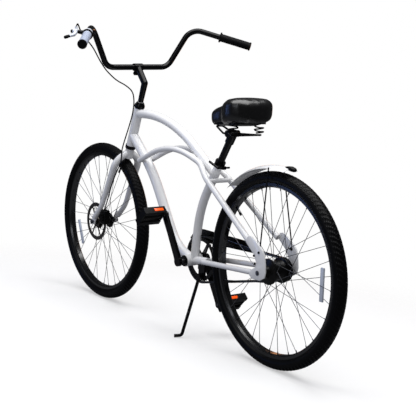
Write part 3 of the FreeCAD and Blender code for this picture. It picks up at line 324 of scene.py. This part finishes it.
# Black tyre rubber, moulded: a dull bloom keeps its highlights broad
tyre_rubber = new_material("black tyre rubber")
tree = tyre_rubber.node_tree
place = add_node(tree, "ShaderNodeTexCoord")
bloom = add_node(tree, "ShaderNodeTexNoise", {"Scale": 26.0, "Detail": 5.0},
                 {"Vector": place.outputs["Object"]})
grain = add_node(tree, "ShaderNodeTexNoise", {"Scale": 900.0, "Detail": 2.0},
                 {"Vector": place.outputs["Object"]})
shade = add_node(tree, "ShaderNodeMix", {"A": linear("#050506"), "B": linear("#09090b")},
                 {"Factor": bloom.outputs["Fac"]}, data_type="RGBA")
dull = add_node(tree, "ShaderNodeMapRange", {"To Min": 0.34, "To Max": 0.5},
                {"Value": bloom.outputs["Fac"]})
relief = add_node(tree, "ShaderNodeBump", {"Strength": 0.2, "Distance": 0.0004},
                  {"Height": grain.outputs["Fac"]})
output(tree, add_node(tree, "ShaderNodeBsdfPrincipled", {"Specular IOR Level": 0.13},
                      {"Base Color": shade.outputs["Result"], "Roughness": dull.outputs["Result"],
                       "Normal": relief.outputs["Normal"]}))


def wheel_spin(bm, geometry, steps, copies=False):
    """Turns geometry once round the wheel's axle, which is the Y axis."""
    bmesh.ops.spin(bm, geom=geometry, cent=(0, 0, 0), axis=(0, 1, 0), dvec=(0, 0, 0), angle=2 * math.pi,
                   steps=steps, use_merge=not copies, use_duplicate=copies)


def wheel_place(bm, axle_x):
    """Moves a piece made round the origin, in millimetres, to its wheel."""
    bmesh.ops.transform(bm, matrix=BIKE @ Matrix.Translation((axle_x, 0, AXLE_HEIGHT)), verts=bm.verts)


def tyre(name, node, axle_x, body):
    """A hollow tyre spun from its section, with rows of tread blocks sunk a little into the crown."""
    bm = bmesh.new()
    carcass = TYRE_HALF - TREAD_DEPTH
    middle = TYRE_R - TYRE_HALF
    crown = [(middle + carcass * math.cos(a), carcass * math.sin(a))
             for a in map(math.radians, CROWN_ANGLES)]
    half = BEAD_AND_WALL + crown
    section = half + [(r, -y) for r, y in reversed(half[:-1])]
    corners = [bm.verts.new((0, y, r)) for r, y in section]
    edges = [bm.edges.new(pair) for pair in zip(corners, corners[1:] + corners[:1])]
    wheel_spin(bm, corners + edges, TYRE_STEPS)
    bmesh.ops.remove_doubles(bm, verts=bm.verts, dist=0.01)
    bmesh.ops.recalc_face_normals(bm, faces=bm.faces)
    for row in TREAD_ROWS:
        for side in ((1, -1) if row["lean"] else (1,)):
            made = bmesh.ops.create_cube(bm, size=1.0)["verts"]
            bmesh.ops.scale(bm, vec=(row["long"], row["wide"], 2 * TREAD_DEPTH), verts=made)
            top = [v for v in made if v.co.z > 0]
            bmesh.ops.scale(bm, vec=BLOCK_TOP, verts=top)
            slant = Matrix.Rotation(math.radians(side * row["slant"]), 4, "Z")
            lean = Matrix.Rotation(math.radians(-side * row["lean"]), 4, "X")
            out = Matrix.Translation((0, 0, carcass - TREAD_SINK))
            place_on = Matrix.Translation((0, 0, middle)) @ lean @ out @ slant
            step = 2 * math.pi / BLOCKS_IN_ROW
            phase = Matrix.Rotation(step * row["shift"], 4, "Y")
            bmesh.ops.transform(bm, matrix=phase @ place_on, verts=made)
            edges = list({e for v in made for e in v.link_edges})
            faces = list({f for v in made for f in v.link_faces})
            wheel_spin(bm, made + edges + faces, BLOCKS_IN_ROW, copies=True)
    wheel_place(bm, axle_x)
    piece = new_object(name, bm, tyre_rubber, body)
    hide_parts(node)


tyre("tyre_front", "front_tyre", WHEELBASE, "front_wheel")
tyre("tyre_rear", "rear_tyre", 0, "rear_wheel")

# Spokes, hubs and rotor: 36 drawn steel spokes a wheel run from black alloy hub shells to nipples
# in the rim. The brake rotor is stamped from stainless sheet, ground, and bolted to the hub.
SPOKES = 36
RIM_INNER_R = 279.0
NIPPLE_LENGTH = 11.0
NIPPLE_HEAD_R = 2.4
NIPPLE_NECK_R = 1.7
NIPPLE_SIDESTEP = 2.6
NIPPLE_IN_RIM = 2.0
WHEELS = [
    {"body": "front_wheel", "axle": WHEELBASE, "turn": 0.0, "name": "front"},
    {"body": "rear_wheel", "axle": 0.0, "turn": 0.04, "name": "rear"},
]

# Dark drawn steel wire: an uneven gloss from the die, and dark against a pale ground
spoke_steel = new_material("dark drawn steel wire")
tree = spoke_steel.node_tree
place = add_node(tree, "ShaderNodeTexCoord")
draw = add_node(tree, "ShaderNodeTexNoise", {"Scale": 60.0, "Detail": 3.0},
                {"Vector": place.outputs["Object"]})
gloss = add_node(tree, "ShaderNodeMapRange", {"To Min": 0.3, "To Max": 0.45},
                 {"Value": draw.outputs["Fac"]})
output(tree, add_node(tree, "ShaderNodeBsdfPrincipled",
                      {"Base Color": linear("#75767b"), "Metallic": 1.0},
                      {"Roughness": gloss.outputs["Result"]}))
paint(spoke_steel, "front_spokes", "rear_spokes", "front_axle", "rear_axle", "pedal_axles",
      "crank_spindle")

# Ground stainless steel: a soft satin, browned in patches by the heat of the pads
rotor_steel = new_material("ground stainless steel")
tree = rotor_steel.node_tree
place = add_node(tree, "ShaderNodeTexCoord")
heat = add_node(tree, "ShaderNodeTexNoise", {"Scale": 40.0, "Detail": 4.0},
                {"Vector": place.outputs["Object"]})
shade = add_node(tree, "ShaderNodeMix", {"A": linear("#5b544c"), "B": linear("#8b857c")},
                 {"Factor": heat.outputs["Fac"]}, data_type="RGBA")
output(tree, add_node(tree, "ShaderNodeBsdfPrincipled", {"Metallic": 1.0, "Roughness": 0.4},
                      {"Base Color": shade.outputs["Result"]}))
paint(rotor_steel, "brake_rotor")

# Satin black anodised alloy, turned: a fine uneven gloss under a thin hard skin
hub_black = new_material("satin black anodised alloy")
tree = hub_black.node_tree
place = add_node(tree, "ShaderNodeTexCoord")
lathe = add_node(tree, "ShaderNodeTexNoise", {"Scale": 120.0, "Detail": 2.0},
                 {"Vector": place.outputs["Object"]})
gloss = add_node(tree, "ShaderNodeMapRange", {"To Min": 0.28, "To Max": 0.4},
                 {"Value": lathe.outputs["Fac"]})
output(tree, add_node(tree, "ShaderNodeBsdfPrincipled",
                      {"Base Color": linear("#060607"), "Specular IOR Level": 0.25},
                      {"Roughness": gloss.outputs["Result"]}))
round_off(hub_black, "hub_black", "front_hub", "rear_hub")
paint(hub_black, "sprocket")

for wheel in WHEELS:
    bm = bmesh.new()
    for i in range(SPOKES):
        angle = i * 2 * math.pi / SPOKES + wheel["turn"]
        side = 1 if i % 2 == 0 else -1
        made = bmesh.ops.create_cone(bm, cap_ends=True, segments=8, radius1=NIPPLE_HEAD_R,
                                     radius2=NIPPLE_NECK_R, depth=NIPPLE_LENGTH)["verts"]
        out = RIM_INNER_R + NIPPLE_IN_RIM - NIPPLE_LENGTH / 2
        stand = Matrix.Translation((0, side * NIPPLE_SIDESTEP, out)) @ Matrix.Rotation(math.pi, 4, "X")
        around = Matrix.Rotation(math.pi / 2 - angle, 4, "Y")
        bmesh.ops.transform(bm, matrix=around @ stand, verts=made)
    wheel_place(bm, wheel["axle"])
    nipples = new_object("spoke_nipples_" + wheel["name"], bm, spoke_steel, wheel["body"], smooth=False)

# Chain: a steel roller chain with side plates riveted over its rollers. It runs in one loop from
# the chainring to the sprocket, and is dark with oil.
chain_steel = new_material("oiled dark chain steel")
tree = chain_steel.node_tree
place = add_node(tree, "ShaderNodeTexCoord")
oil = add_node(tree, "ShaderNodeTexNoise", {"Scale": 70.0, "Detail": 4.0},
               {"Vector": place.outputs["Object"]})
shade = add_node(tree, "ShaderNodeMix", {"A": linear("#2a2a2d"), "B": linear("#55565a")},
                 {"Factor": oil.outputs["Fac"]}, data_type="RGBA")
output(tree, add_node(tree, "ShaderNodeBsdfPrincipled", {"Metallic": 1.0, "Roughness": 0.38},
                      {"Base Color": shade.outputs["Result"]}))
paint(chain_steel, "chain")

# Pedals, chain guard and cable: the pedal bodies and the guard are moulded in black plastic, and
# the brake cable runs in a plastic sleeve extruded over a steel liner.

# Black moulded plastic: the fine grain of the mould keeps its gloss low
black_plastic = new_material("black moulded plastic")
tree = black_plastic.node_tree
place = add_node(tree, "ShaderNodeTexCoord")
grain = add_node(tree, "ShaderNodeTexNoise", {"Scale": 700.0, "Detail": 2.0},
                 {"Vector": place.outputs["Object"]})
flow = add_node(tree, "ShaderNodeTexNoise", {"Scale": 18.0, "Detail": 2.0},
                {"Vector": place.outputs["Object"]})
gloss = add_node(tree, "ShaderNodeMapRange", {"To Min": 0.32, "To Max": 0.5},
                 {"Value": flow.outputs["Fac"]})
relief = add_node(tree, "ShaderNodeBump", {"Strength": 0.15, "Distance": 0.0004},
                  {"Height": grain.outputs["Fac"]})
output(tree, add_node(tree, "ShaderNodeBsdfPrincipled",
                      {"Base Color": linear("#060607"), "Specular IOR Level": 0.15},
                      {"Roughness": gloss.outputs["Result"], "Normal": relief.outputs["Normal"]}))
paint(black_plastic, "pedal_body_left", "pedal_body_right", "chain_guard")
round_off(black_plastic, "cable_sleeve", "brake_cable")

# Grips: soft rubber sleeves, moulded with ribs round them and a flange at the inner end, and
# pushed over the ends of the bar. Both are black; the left sleeve is painted pale grey as a highlight.
BAR_END = Vector((647.5, 398.5, 1070.5))
BAR_HIGH = Vector((830.0, 237.5, 1141.7))
GRIP_WAY = (BAR_HIGH - BAR_END).normalized()
HEAD_ANGLE = math.radians(69.5)
HEAD_WAY = Vector((-math.cos(HEAD_ANGLE), 0, math.sin(HEAD_ANGLE)))
HEAD_POINT = Vector((889.0, 0, 749.0))
BAR_TWIST = math.radians(4.0)
TWIST = (Matrix.Translation(HEAD_POINT) @ Matrix.Rotation(BAR_TWIST, 4, HEAD_WAY)
         @ Matrix.Translation(-HEAD_POINT))
ON_BAR = BIKE @ TWIST
GRIP_SIDES = 28
GRIP_CORE_R = 14.8
GRIP_RIB_R = 16.0
RIBS = 22
RIB_START = 9.0
RIB_PITCH = 5.0
RIB = [(0.0, GRIP_CORE_R), (1.2, GRIP_RIB_R), (3.6, GRIP_RIB_R), (4.8, GRIP_CORE_R)]
GRIP_CAP = [(0.6, 12.0), (0.2, 15.0), (2.0, 17.4), (5.0, 17.4), (5.6, 16.0)]
GRIP_FLANGE = [(122, 16.0), (124, 16.4), (126, 20.4), (129, 20.8), (130, 19.6)]

# Moulded black rubber: matt, with the fine grain of the mould
grip_rubber = new_material("moulded black rubber")
tree = grip_rubber.node_tree
place = add_node(tree, "ShaderNodeTexCoord")
grain = add_node(tree, "ShaderNodeTexNoise", {"Scale": 500.0, "Detail": 2.0},
                 {"Vector": place.outputs["Object"]})
relief = add_node(tree, "ShaderNodeBump", {"Strength": 0.2, "Distance": 0.0005},
                  {"Height": grain.outputs["Fac"]})
output(tree, add_node(tree, "ShaderNodeBsdfPrincipled",
                      {"Base Color": linear("#0a0a0c"), "Roughness": 0.5, "Specular IOR Level": 0.15},
                      {"Normal": relief.outputs["Normal"]}))


def tube(bm, stations, sides):
    """A tube of rings at (point, radius) stations, each square to the way between its neighbours."""
    points = [Vector(point) for point, _ in stations]
    rings = []
    for i, (point, (_, radius)) in enumerate(zip(points, stations)):
        before = points[i - 1] if i else point
        after = points[i + 1] if i + 1 < len(points) else point
        turn = (after - before).to_track_quat("Z", "Y").to_matrix().to_4x4()
        stand = Matrix.Translation(point) @ turn
        made = bmesh.ops.create_circle(bm, segments=sides, radius=radius, matrix=stand)
        rings.append(list({edge for v in made["verts"] for edge in v.link_edges}))
    for first, second in zip(rings, rings[1:]):
        bmesh.ops.bridge_loops(bm, edges=first + second)
    for end in (rings[0], rings[-1]):
        bmesh.ops.edgeloop_fill(bm, edges=end)
    bmesh.ops.recalc_face_normals(bm, faces=bm.faces)


def finish(name, bm, matrix, material, body, crease=CREASE):
    """Places a piece made in bicycle millimetres, with creases where its faces turn sharply."""
    for edge in bm.edges:
        edge.smooth = len(edge.link_faces) == 2 and edge.calc_face_angle() < crease
    bmesh.ops.transform(bm, matrix=matrix, verts=bm.verts)
    piece = new_object(name, bm, material, body)
    return piece


# Left grip sleeve: black rubber painted pale grey as a highlight, with the same mould and grain
highlight_painted_grip_rubber = new_material("black rubber with painted highlight")
tree = highlight_painted_grip_rubber.node_tree
place = add_node(tree, "ShaderNodeTexCoord")
grain = add_node(tree, "ShaderNodeTexNoise", {"Scale": 500.0, "Detail": 2.0},
                 {"Vector": place.outputs["Object"]})
relief = add_node(tree, "ShaderNodeBump", {"Strength": 0.2, "Distance": 0.0005},
                  {"Height": grain.outputs["Fac"]})
output(tree, add_node(tree, "ShaderNodeBsdfPrincipled",
                      {"Base Color": linear("#a3abbd"), "Roughness": 0.45},
                      {"Normal": relief.outputs["Normal"]}))

profile = list(GRIP_CAP)
for rib in range(RIBS):
    start = RIB_START + rib * RIB_PITCH
    profile += [(start + along, radius) for along, radius in RIB]
sleeve_start = len(GRIP_CAP) - 1
sleeve_end = len(profile)
profile += GRIP_FLANGE
# The left sleeve takes the rubber painted pale grey as a highlight; the right one is plain black
# rubber.
GRIPS = [
    {"name": "left", "side": 1, "sleeve": highlight_painted_grip_rubber},
    {"name": "right", "side": -1, "sleeve": grip_rubber},
]
for grip in GRIPS:
    flip = Matrix.Scale(grip["side"], 4, (0, 1, 0))
    stations = [(flip @ (BAR_END + GRIP_WAY * along), radius) for along, radius in profile]
    bm = bmesh.new()
    tube(bm, stations[sleeve_start:sleeve_end + 1], GRIP_SIDES)
    sleeve = finish("grip_sleeve_" + grip["name"], bm, ON_BAR, grip["sleeve"], "steering")
    bm = bmesh.new()
    tube(bm, stations[:sleeve_start + 1], GRIP_SIDES)
    tube(bm, stations[sleeve_end:], GRIP_SIDES)
    finish("grip_ends_" + grip["name"], bm, ON_BAR, grip_rubber, "steering")
    if grip["side"] == 1:
        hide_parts("grips")

# Brake lever: the clamp, the housing, the cable's barrel and the blade are cast in alloy and bead
# blasted. The arm between clamp and housing is coloured black as painted shade for the shadow on its
# underside; the knob at its end is black, and the blade's tip is dipped in black plastic.
PERCH = Vector((750.42, 307.7, 1110.65))
PIVOT = Vector((776.52, 340.69, 1118.33))
KNOB = Vector((788.43, 354.18, 1118.33))
CABLE_OUT = Vector((779.12, 338.39, 1134.97))
BLADE_BEND = Vector((763.82, 358.56, 1105.83))
BLADE_TIP = Vector((745.18, 408.34, 1095.24))

# Bead blasted alloy: an even pale satin with soft highlights
lever_alloy = new_material("bead blasted alloy")
tree = lever_alloy.node_tree
place = add_node(tree, "ShaderNodeTexCoord")
blast = add_node(tree, "ShaderNodeTexNoise", {"Scale": 300.0, "Detail": 3.0},
                 {"Vector": place.outputs["Object"]})
gloss = add_node(tree, "ShaderNodeMapRange", {"To Min": 0.3, "To Max": 0.42},
                 {"Value": blast.outputs["Fac"]})
output(tree, add_node(tree, "ShaderNodeBsdfPrincipled",
                      {"Base Color": linear("#cdd2dc"), "Metallic": 0.35},
                      {"Roughness": gloss.outputs["Result"]}))


def along(first, last, stations):
    """Tube stations from (share of the way, radius) pairs between two points."""
    return [(first.lerp(last, share), radius) for share, radius in stations]


# The arm from clamp to housing in black enamel is painted shade; the knob at its end is black.
bm = bmesh.new()
tube(bm, along(PERCH, PIVOT, [(0.0, 8.0), (0.5, 8.0), (0.9, 6.5)]), 20)
tube(bm, along(PIVOT, KNOB, [(0.75, 5.0), (0.8, 6.4), (1.0, 6.4), (1.12, 4.0)]), 20)
lever_arm_painted_shade_and_knob = finish("lever_arm_painted_shade_and_knob", bm, ON_BAR, black_enamel, "steering")
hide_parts("brake_lever")

bm = bmesh.new()
tube(bm, [(PERCH + GRIP_WAY * way, radius) for way, radius in
          [(-7.5, 14.0), (-6.0, 15.6), (16.0, 15.6), (18.0, 14.0)]], 24)
tube(bm, along(PERCH, PIVOT, [(0.85, 6.0), (0.92, 9.0), (1.0, 9.6)])
     + along(PIVOT, KNOB, [(0.6, 8.6), (0.75, 6.0)]), 20)
tube(bm, along(PIVOT, CABLE_OUT, [(0.0, 5.6), (0.5, 5.2), (1.0, 4.8)]), 16)
tube(bm, along(PIVOT, BLADE_BEND, [(0.0, 7.0), (0.6, 7.4), (1.0, 6.8)])
     + along(BLADE_BEND, BLADE_TIP, [(0.2, 6.0), (0.55, 5.2)]), 16)
finish("lever_blade", bm, ON_BAR, lever_alloy, "steering")

bm = bmesh.new()
tube(bm, along(BLADE_BEND, BLADE_TIP, [(0.55, 5.4), (0.75, 6.0), (0.97, 5.8), (1.04, 3.0)]), 16)
finish("lever_tip", bm, ON_BAR, black_plastic, "steering")

# Dropouts: steel plates, stamped with rounded edges and welded between the ends of the stays, with
# a bolt in each eyelet.
DROPOUT_PLAN = [(66, 426), (46, 410), (22, 391), (10, 368), (13, 350), (38, 336), (44, 318),
                (24, 308), (-12, 310), (-33, 322), (-38, 342), (-36, 364), (-33, 384), (-28, 402),
                (-12, 418), (12, 434), (42, 450), (60, 446)]
DROPOUT_IN_Y = 67.5
DROPOUT_T = 6.0
EDGE_ROUND = 1.2
SHARP_TURN = 1.2
EYELETS = [(20, 388), (-4, 402), (14, 362)]
BOLT = [(-2.0, 3.0), (DROPOUT_T + 0.5, 3.0), (DROPOUT_T + 0.6, 4.4), (DROPOUT_T + 2.4, 4.0)]
bm = bmesh.new()
bolts = bmesh.new()
for side in (1, -1):
    inner = bm.faces.new([bm.verts.new((x, side * DROPOUT_IN_Y, z)) for x, z in DROPOUT_PLAN])
    grown = bmesh.ops.extrude_face_region(bm, geom=[inner], use_keep_orig=True)["geom"]
    outer = [g for g in grown if isinstance(g, bmesh.types.BMVert)]
    bmesh.ops.translate(bm, vec=(0, side * DROPOUT_T, 0), verts=outer)
    for x, z in EYELETS:
        tube(bolts, [((x, side * (DROPOUT_IN_Y + out), z), radius) for out, radius in BOLT], 12)
bmesh.ops.recalc_face_normals(bm, faces=bm.faces)
rims = [edge for edge in bm.edges if edge.calc_face_angle(0) > SHARP_TURN]
bmesh.ops.bevel(bm, geom=rims, offset=EDGE_ROUND, segments=2, profile=0.5, affect="EDGES", material=-1)
plates = finish("dropout_plates", bm, BIKE, white_enamel, "frame")
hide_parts("dropouts")
finish("dropout_bolts", bolts, BIKE, black_enamel, "frame")

# Tail piece: a black plastic moulding fixed over the end of the fender, round on top and wider
# than it is high.
TAIL_WIDER = 1.35
TAIL_CREASE = math.radians(60)
TAIL_PATH = [((-33, 0, 680), 2.0), ((-38, 0, 681.5), 4.6), ((-50, 0, 681.5), 6.6),
             ((-64, 0, 680.5), 8.4), ((-76, 0, 678.5), 7.6), ((-83, 0, 677), 5.0),
             ((-85, 0, 676.5), 2.0)]
bm = bmesh.new()
tube(bm, TAIL_PATH, 20)
bmesh.ops.scale(bm, vec=(1, TAIL_WIDER, 1), verts=bm.verts)
tail = finish("tail_hood", bm, BIKE, black_plastic, "frame", crease=TAIL_CREASE)
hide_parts("fender_tail")

# Reflectors: orange blocks pressed into both ends of each pedal body, and a clear bar clipped to
# the spokes of each wheel. They are moulded in acrylic, with small prisms that break up the light.
PEDAL_TILT = math.radians(45)
PEDAL_END_X = 38.0
PEDAL_BLOCK = (3.0, 38.0, 11.0)
PEDAL_BLOCK_IN_Y = 16.0
PEDAL_BLOCK_EDGE = 0.6
WHEEL_BAR = (110.0, 7.0, 16.0)
WHEEL_BAR_EDGE = 2.5
# The orange blocks have a weak emission, a painted glow for the light they send back; the clear bars
# have none.
REFLECTORS = [
    {"name": "orange moulded reflector", "colour": "#ff5a08", "painted_glow": 0.35, "rough": 0.25},
    {"name": "clear moulded reflector", "colour": "#c8cfdc", "painted_glow": 0.0, "rough": 0.2},
]
reflector_finish = []
for row in REFLECTORS:
    material = new_material(row["name"])
    tree = material.node_tree
    place = add_node(tree, "ShaderNodeTexCoord")
    prisms = add_node(tree, "ShaderNodeTexVoronoi", {"Scale": 400.0},
                      {"Vector": place.outputs["Object"]})
    relief = add_node(tree, "ShaderNodeBump", {"Strength": 0.3, "Distance": 0.0005},
                      {"Height": prisms.outputs["Distance"]})
    output(tree, add_node(tree, "ShaderNodeBsdfPrincipled",
                          {"Base Color": linear(row["colour"]), "Roughness": row["rough"],
                           "Emission Color": linear(row["colour"]), "Emission Strength": row["painted_glow"]},
                          {"Normal": relief.outputs["Normal"]}))
    reflector_finish.append(material)
orange_reflector, clear_reflector = reflector_finish


def block(bm, size, matrix, edge):
    """A box with rounded edges."""
    made = bmesh.ops.create_cube(bm, size=1.0)["verts"]
    bmesh.ops.scale(bm, vec=size, verts=made)
    edges = list({e for v in made for e in v.link_edges})
    result = bmesh.ops.bevel(bm, geom=edges, offset=edge, segments=2, profile=0.5, affect="EDGES",
                             material=-1)
    verts = list({v for v in made if v.is_valid} | {v for v in result["verts"] if v.is_valid})
    bmesh.ops.transform(bm, matrix=matrix, verts=verts)


for side, name in ((1, "left"), (-1, "right")):
    low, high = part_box("pedal_body_" + name)
    centre = BIKE.inverted() @ ((Vector(low) + Vector(high)) / 2)
    pedal = Matrix.Translation(centre) @ Matrix.Rotation(PEDAL_TILT, 4, "Y")
    bm = bmesh.new()
    for end in (1, -1):
        out = Matrix.Translation((end * PEDAL_END_X, -side * PEDAL_BLOCK_IN_Y, 0))
        block(bm, PEDAL_BLOCK, pedal @ out, PEDAL_BLOCK_EDGE)
    finish("pedal_reflectors_" + name, bm, BIKE, orange_reflector, "pedal_" + name)

WHEEL_REFLECTORS = [
    {"wheel": "front", "axle": WHEELBASE, "angle": -21.5, "radius": 217},
    {"wheel": "rear", "axle": 0.0, "angle": 180.0, "radius": 230},
]
for row in WHEEL_REFLECTORS:
    bm = bmesh.new()
    around = Matrix.Rotation(math.radians(90 - row["angle"]), 4, "Y")
    hub = Matrix.Translation((row["axle"], 0, AXLE_HEIGHT))
    block(bm, WHEEL_BAR, hub @ around @ Matrix.Translation((0, 0, row["radius"])), WHEEL_BAR_EDGE)
    finish("wheel_reflector_" + row["wheel"], bm, BIKE, clear_reflector, row["wheel"] + "_wheel")

# Valves: a black rubber stem and cap, part of the inner tube, which comes through each rim between
# two spokes and points to the hub.
VALVE = [(282, 3.6), (272, 3.4), (270, 2.8), (257, 2.8), (256.5, 4.2), (248, 4.0), (246.5, 2.6)]
VALVES = [
    {"wheel": "front", "axle": WHEELBASE, "angle": 117.8},
    {"wheel": "rear", "axle": 0.0, "angle": 40.4},
]
for row in VALVES:
    bm = bmesh.new()
    tube(bm, [((0, 0, out), radius) for out, radius in VALVE], 16)
    around = Matrix.Rotation(math.radians(90 - row["angle"]), 4, "Y")
    hub = Matrix.Translation((row["axle"], 0, AXLE_HEIGHT))
    finish("valve_" + row["wheel"], bm, BIKE @ hub @ around, tyre_rubber, row["wheel"] + "_wheel")

# Saddle: foam with a wide tail and a short nose, under a stretched vinyl cover whose side panel is
# sewn on at a seam and tucks in below. It is shaped by its plan and its top line, remeshed, and
# swollen a little by cloth pressure.
SADDLE_PLAN = [
    {"x": 108, "half": 0}, {"x": 112, "half": 42}, {"x": 127, "half": 74}, {"x": 150, "half": 90},
    {"x": 176, "half": 94}, {"x": 204, "half": 88}, {"x": 230, "half": 72}, {"x": 252, "half": 52},
    {"x": 272, "half": 38}, {"x": 292, "half": 31}, {"x": 316, "half": 29.5}, {"x": 342, "half": 28},
    {"x": 355, "half": 19}, {"x": 360, "half": 0},
]
SADDLE_HALF = 94.0
SADDLE_TOPS = [(100, 884), (130, 896), (168, 899), (215, 896), (250, 887), (272, 872), (290, 860),
               (320, 856), (345, 853), (365, 846)]
WING_RISE = 17.0
WING_RISE_SHARES = [(150, 1.0), (215, 0.0)]
WING_DROPS = [(140, 4.0), (185, 12.0), (235, 34.0)]
BASE_TAIL = (102.0, 817.0)
BASE_LENGTH = 259.0
BASE_DROP = 18.0
SEAM_Z = 836.0
SIDE_HEIGHT = 38.0
SEAT_LOW = SEAM_Z - 21
SEAT_HIGH = SEAM_Z + 60
TOP_STEPS = [(3, 8), (6, 7), (8, 5), (6, 2)]
UNDER_STEPS = [(1, 8), (3, 9), (5, 8)]
VOXEL = 0.005
PRESSURE = 4.0
CLOTH_STEPS = 20
SWELL = 0.007
SMOOTHINGS = 3

# Smooth black vinyl, calendered: fine pores, and a gloss that changes slowly with its stretch
saddle_vinyl = new_material("smooth black vinyl")
tree = saddle_vinyl.node_tree
place = add_node(tree, "ShaderNodeTexCoord")
pores = add_node(tree, "ShaderNodeTexVoronoi", {"Scale": 900.0}, {"Vector": place.outputs["Object"]})
folds = add_node(tree, "ShaderNodeTexNoise", {"Scale": 14.0, "Detail": 2.0},
                 {"Vector": place.outputs["Object"]})
gloss = add_node(tree, "ShaderNodeMapRange", {"To Min": 0.26, "To Max": 0.36},
                 {"Value": folds.outputs["Fac"]})
relief = add_node(tree, "ShaderNodeBump", {"Strength": 0.12, "Distance": 0.0004},
                  {"Height": pores.outputs["Distance"]})
output(tree, add_node(tree, "ShaderNodeBsdfPrincipled",
                      {"Base Color": linear("#060607"), "Specular IOR Level": 0.75},
                      {"Roughness": gloss.outputs["Result"], "Normal": relief.outputs["Normal"]}))


def between(table, x):
    """The value at x on the straight lines between a table's points."""
    for (x0, v0), (x1, v1) in zip(table, table[1:]):
        if x <= x1:
            return v0 + (v1 - v0) * max(0.0, (x - x0) / (x1 - x0))
    return table[-1][1]


def saddle_base(x):
    """The height of the cover's lower edge, which falls towards the nose."""
    return BASE_TAIL[1] - BASE_DROP * (x - BASE_TAIL[0]) / BASE_LENGTH


bm = bmesh.new()
left = [(row["x"], row["half"]) for row in SADDLE_PLAN]
loop = left + [(x, -y) for x, y in reversed(left[1:-1])]
outline = bm.faces.new([bm.verts.new((x, y, SEAM_Z)) for x, y in loop])
bmesh.ops.recalc_face_normals(bm, faces=[outline])
if outline.normal.z < 0:
    outline.normal_flip()
raised = bmesh.ops.extrude_face_region(bm, geom=[outline], use_keep_orig=True)
top = [g for g in raised["geom"] if isinstance(g, bmesh.types.BMFace)][0]
bmesh.ops.translate(bm, vec=(0, 0, SIDE_HEIGHT), verts=top.verts)
outline.normal_flip()
for face, steps, way in ((top, TOP_STEPS, 1), (outline, UNDER_STEPS, -1)):
    for inset, climb in steps:
        bmesh.ops.inset_region(bm, faces=[face], thickness=inset, depth=0, use_even_offset=True)
        bmesh.ops.translate(bm, vec=(0, 0, way * climb), verts=face.verts)
for v in bm.verts:
    share = (v.co.z - SEAT_LOW) / (SEAT_HIGH - SEAT_LOW)
    wing = (v.co.y / SADDLE_HALF) ** 2
    low = saddle_base(v.co.x) + WING_RISE * wing * between(WING_RISE_SHARES, v.co.x)
    high = between(SADDLE_TOPS, v.co.x) - wing * between(WING_DROPS, v.co.x)
    v.co.z = low + share * (high - low)
bmesh.ops.triangulate(bm, faces=bm.faces)
bmesh.ops.recalc_face_normals(bm, faces=bm.faces)
bmesh.ops.transform(bm, matrix=BIKE, verts=bm.verts)
saddle = new_object("saddle", bm, saddle_vinyl)


def apply_modifiers(piece):
    """Turns the piece's modifiers into its mesh."""
    scene.view_layers[0].update()
    evaluated = piece.evaluated_get(bpy.context.evaluated_depsgraph_get())
    finished = bpy.data.meshes.new_from_object(evaluated)
    piece.modifiers.clear()
    piece.data = finished


remesh = saddle.modifiers.new("remesh", "REMESH")
remesh.mode = "VOXEL"
remesh.voxel_size = VOXEL
apply_modifiers(saddle)
start = [v.co.copy() for v in saddle.data.vertices]
cloth = saddle.modifiers.new("cloth", "CLOTH")
cloth.settings.use_pressure = True
cloth.settings.uniform_pressure_force = PRESSURE
cloth.settings.effector_weights.gravity = 0.0
for step in range(1, CLOTH_STEPS + 1):
    scene.frame_set(step)
apply_modifiers(saddle)
scene.frame_set(1)
bm = bmesh.new()
bm.from_mesh(saddle.data)
for v, first in zip(bm.verts, start):
    moved = v.co - first
    if moved.length > SWELL:
        v.co = first + moved.normalized() * SWELL
for _ in range(SMOOTHINGS):
    bmesh.ops.smooth_vert(bm, verts=bm.verts, factor=0.5, use_axis_x=True, use_axis_y=True,
                          use_axis_z=True)
bm.to_mesh(saddle.data)
bm.free()
divide = saddle.modifiers.new("round", "SUBSURF")
divide.levels = divide.render_levels = 1
apply_modifiers(saddle)
saddle.data.materials.clear()
saddle.data.materials.append(saddle_vinyl)
saddle.data.polygons.foreach_set("use_smooth", [True] * len(saddle.data.polygons))
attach(saddle, "seat")
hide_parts("saddle_cover")

# Saddle pan: a moulded plastic shell under the foam. The cover is stapled round its edge, which
# stays inside the cover, and the springs and the wire frame are screwed to it.
PAN_WIDTH_SHARE = 0.72
PAN_LENGTH_SHARE = 0.9
PAN_CENTRE_X = 225.0
PAN_BELOW = 5.0
PAN_HEIGHT = 9.0
bm = bmesh.new()
left = [(PAN_CENTRE_X + (row["x"] - PAN_CENTRE_X) * PAN_LENGTH_SHARE, row["half"] * PAN_WIDTH_SHARE)
        for row in SADDLE_PLAN]
loop = left + [(x, -y) for x, y in reversed(left[1:-1])]
sole = bm.faces.new([bm.verts.new((x, y, saddle_base(x) - PAN_BELOW)) for x, y in loop])
grown = bmesh.ops.extrude_face_region(bm, geom=[sole], use_keep_orig=True)["geom"]
upper = [g for g in grown if isinstance(g, bmesh.types.BMVert)]
bmesh.ops.translate(bm, vec=(0, 0, PAN_HEIGHT), verts=upper)
bmesh.ops.recalc_face_normals(bm, faces=bm.faces)
pan = finish("saddle_shell", bm, BIKE, black_plastic, "seat")
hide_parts("saddle_pan")
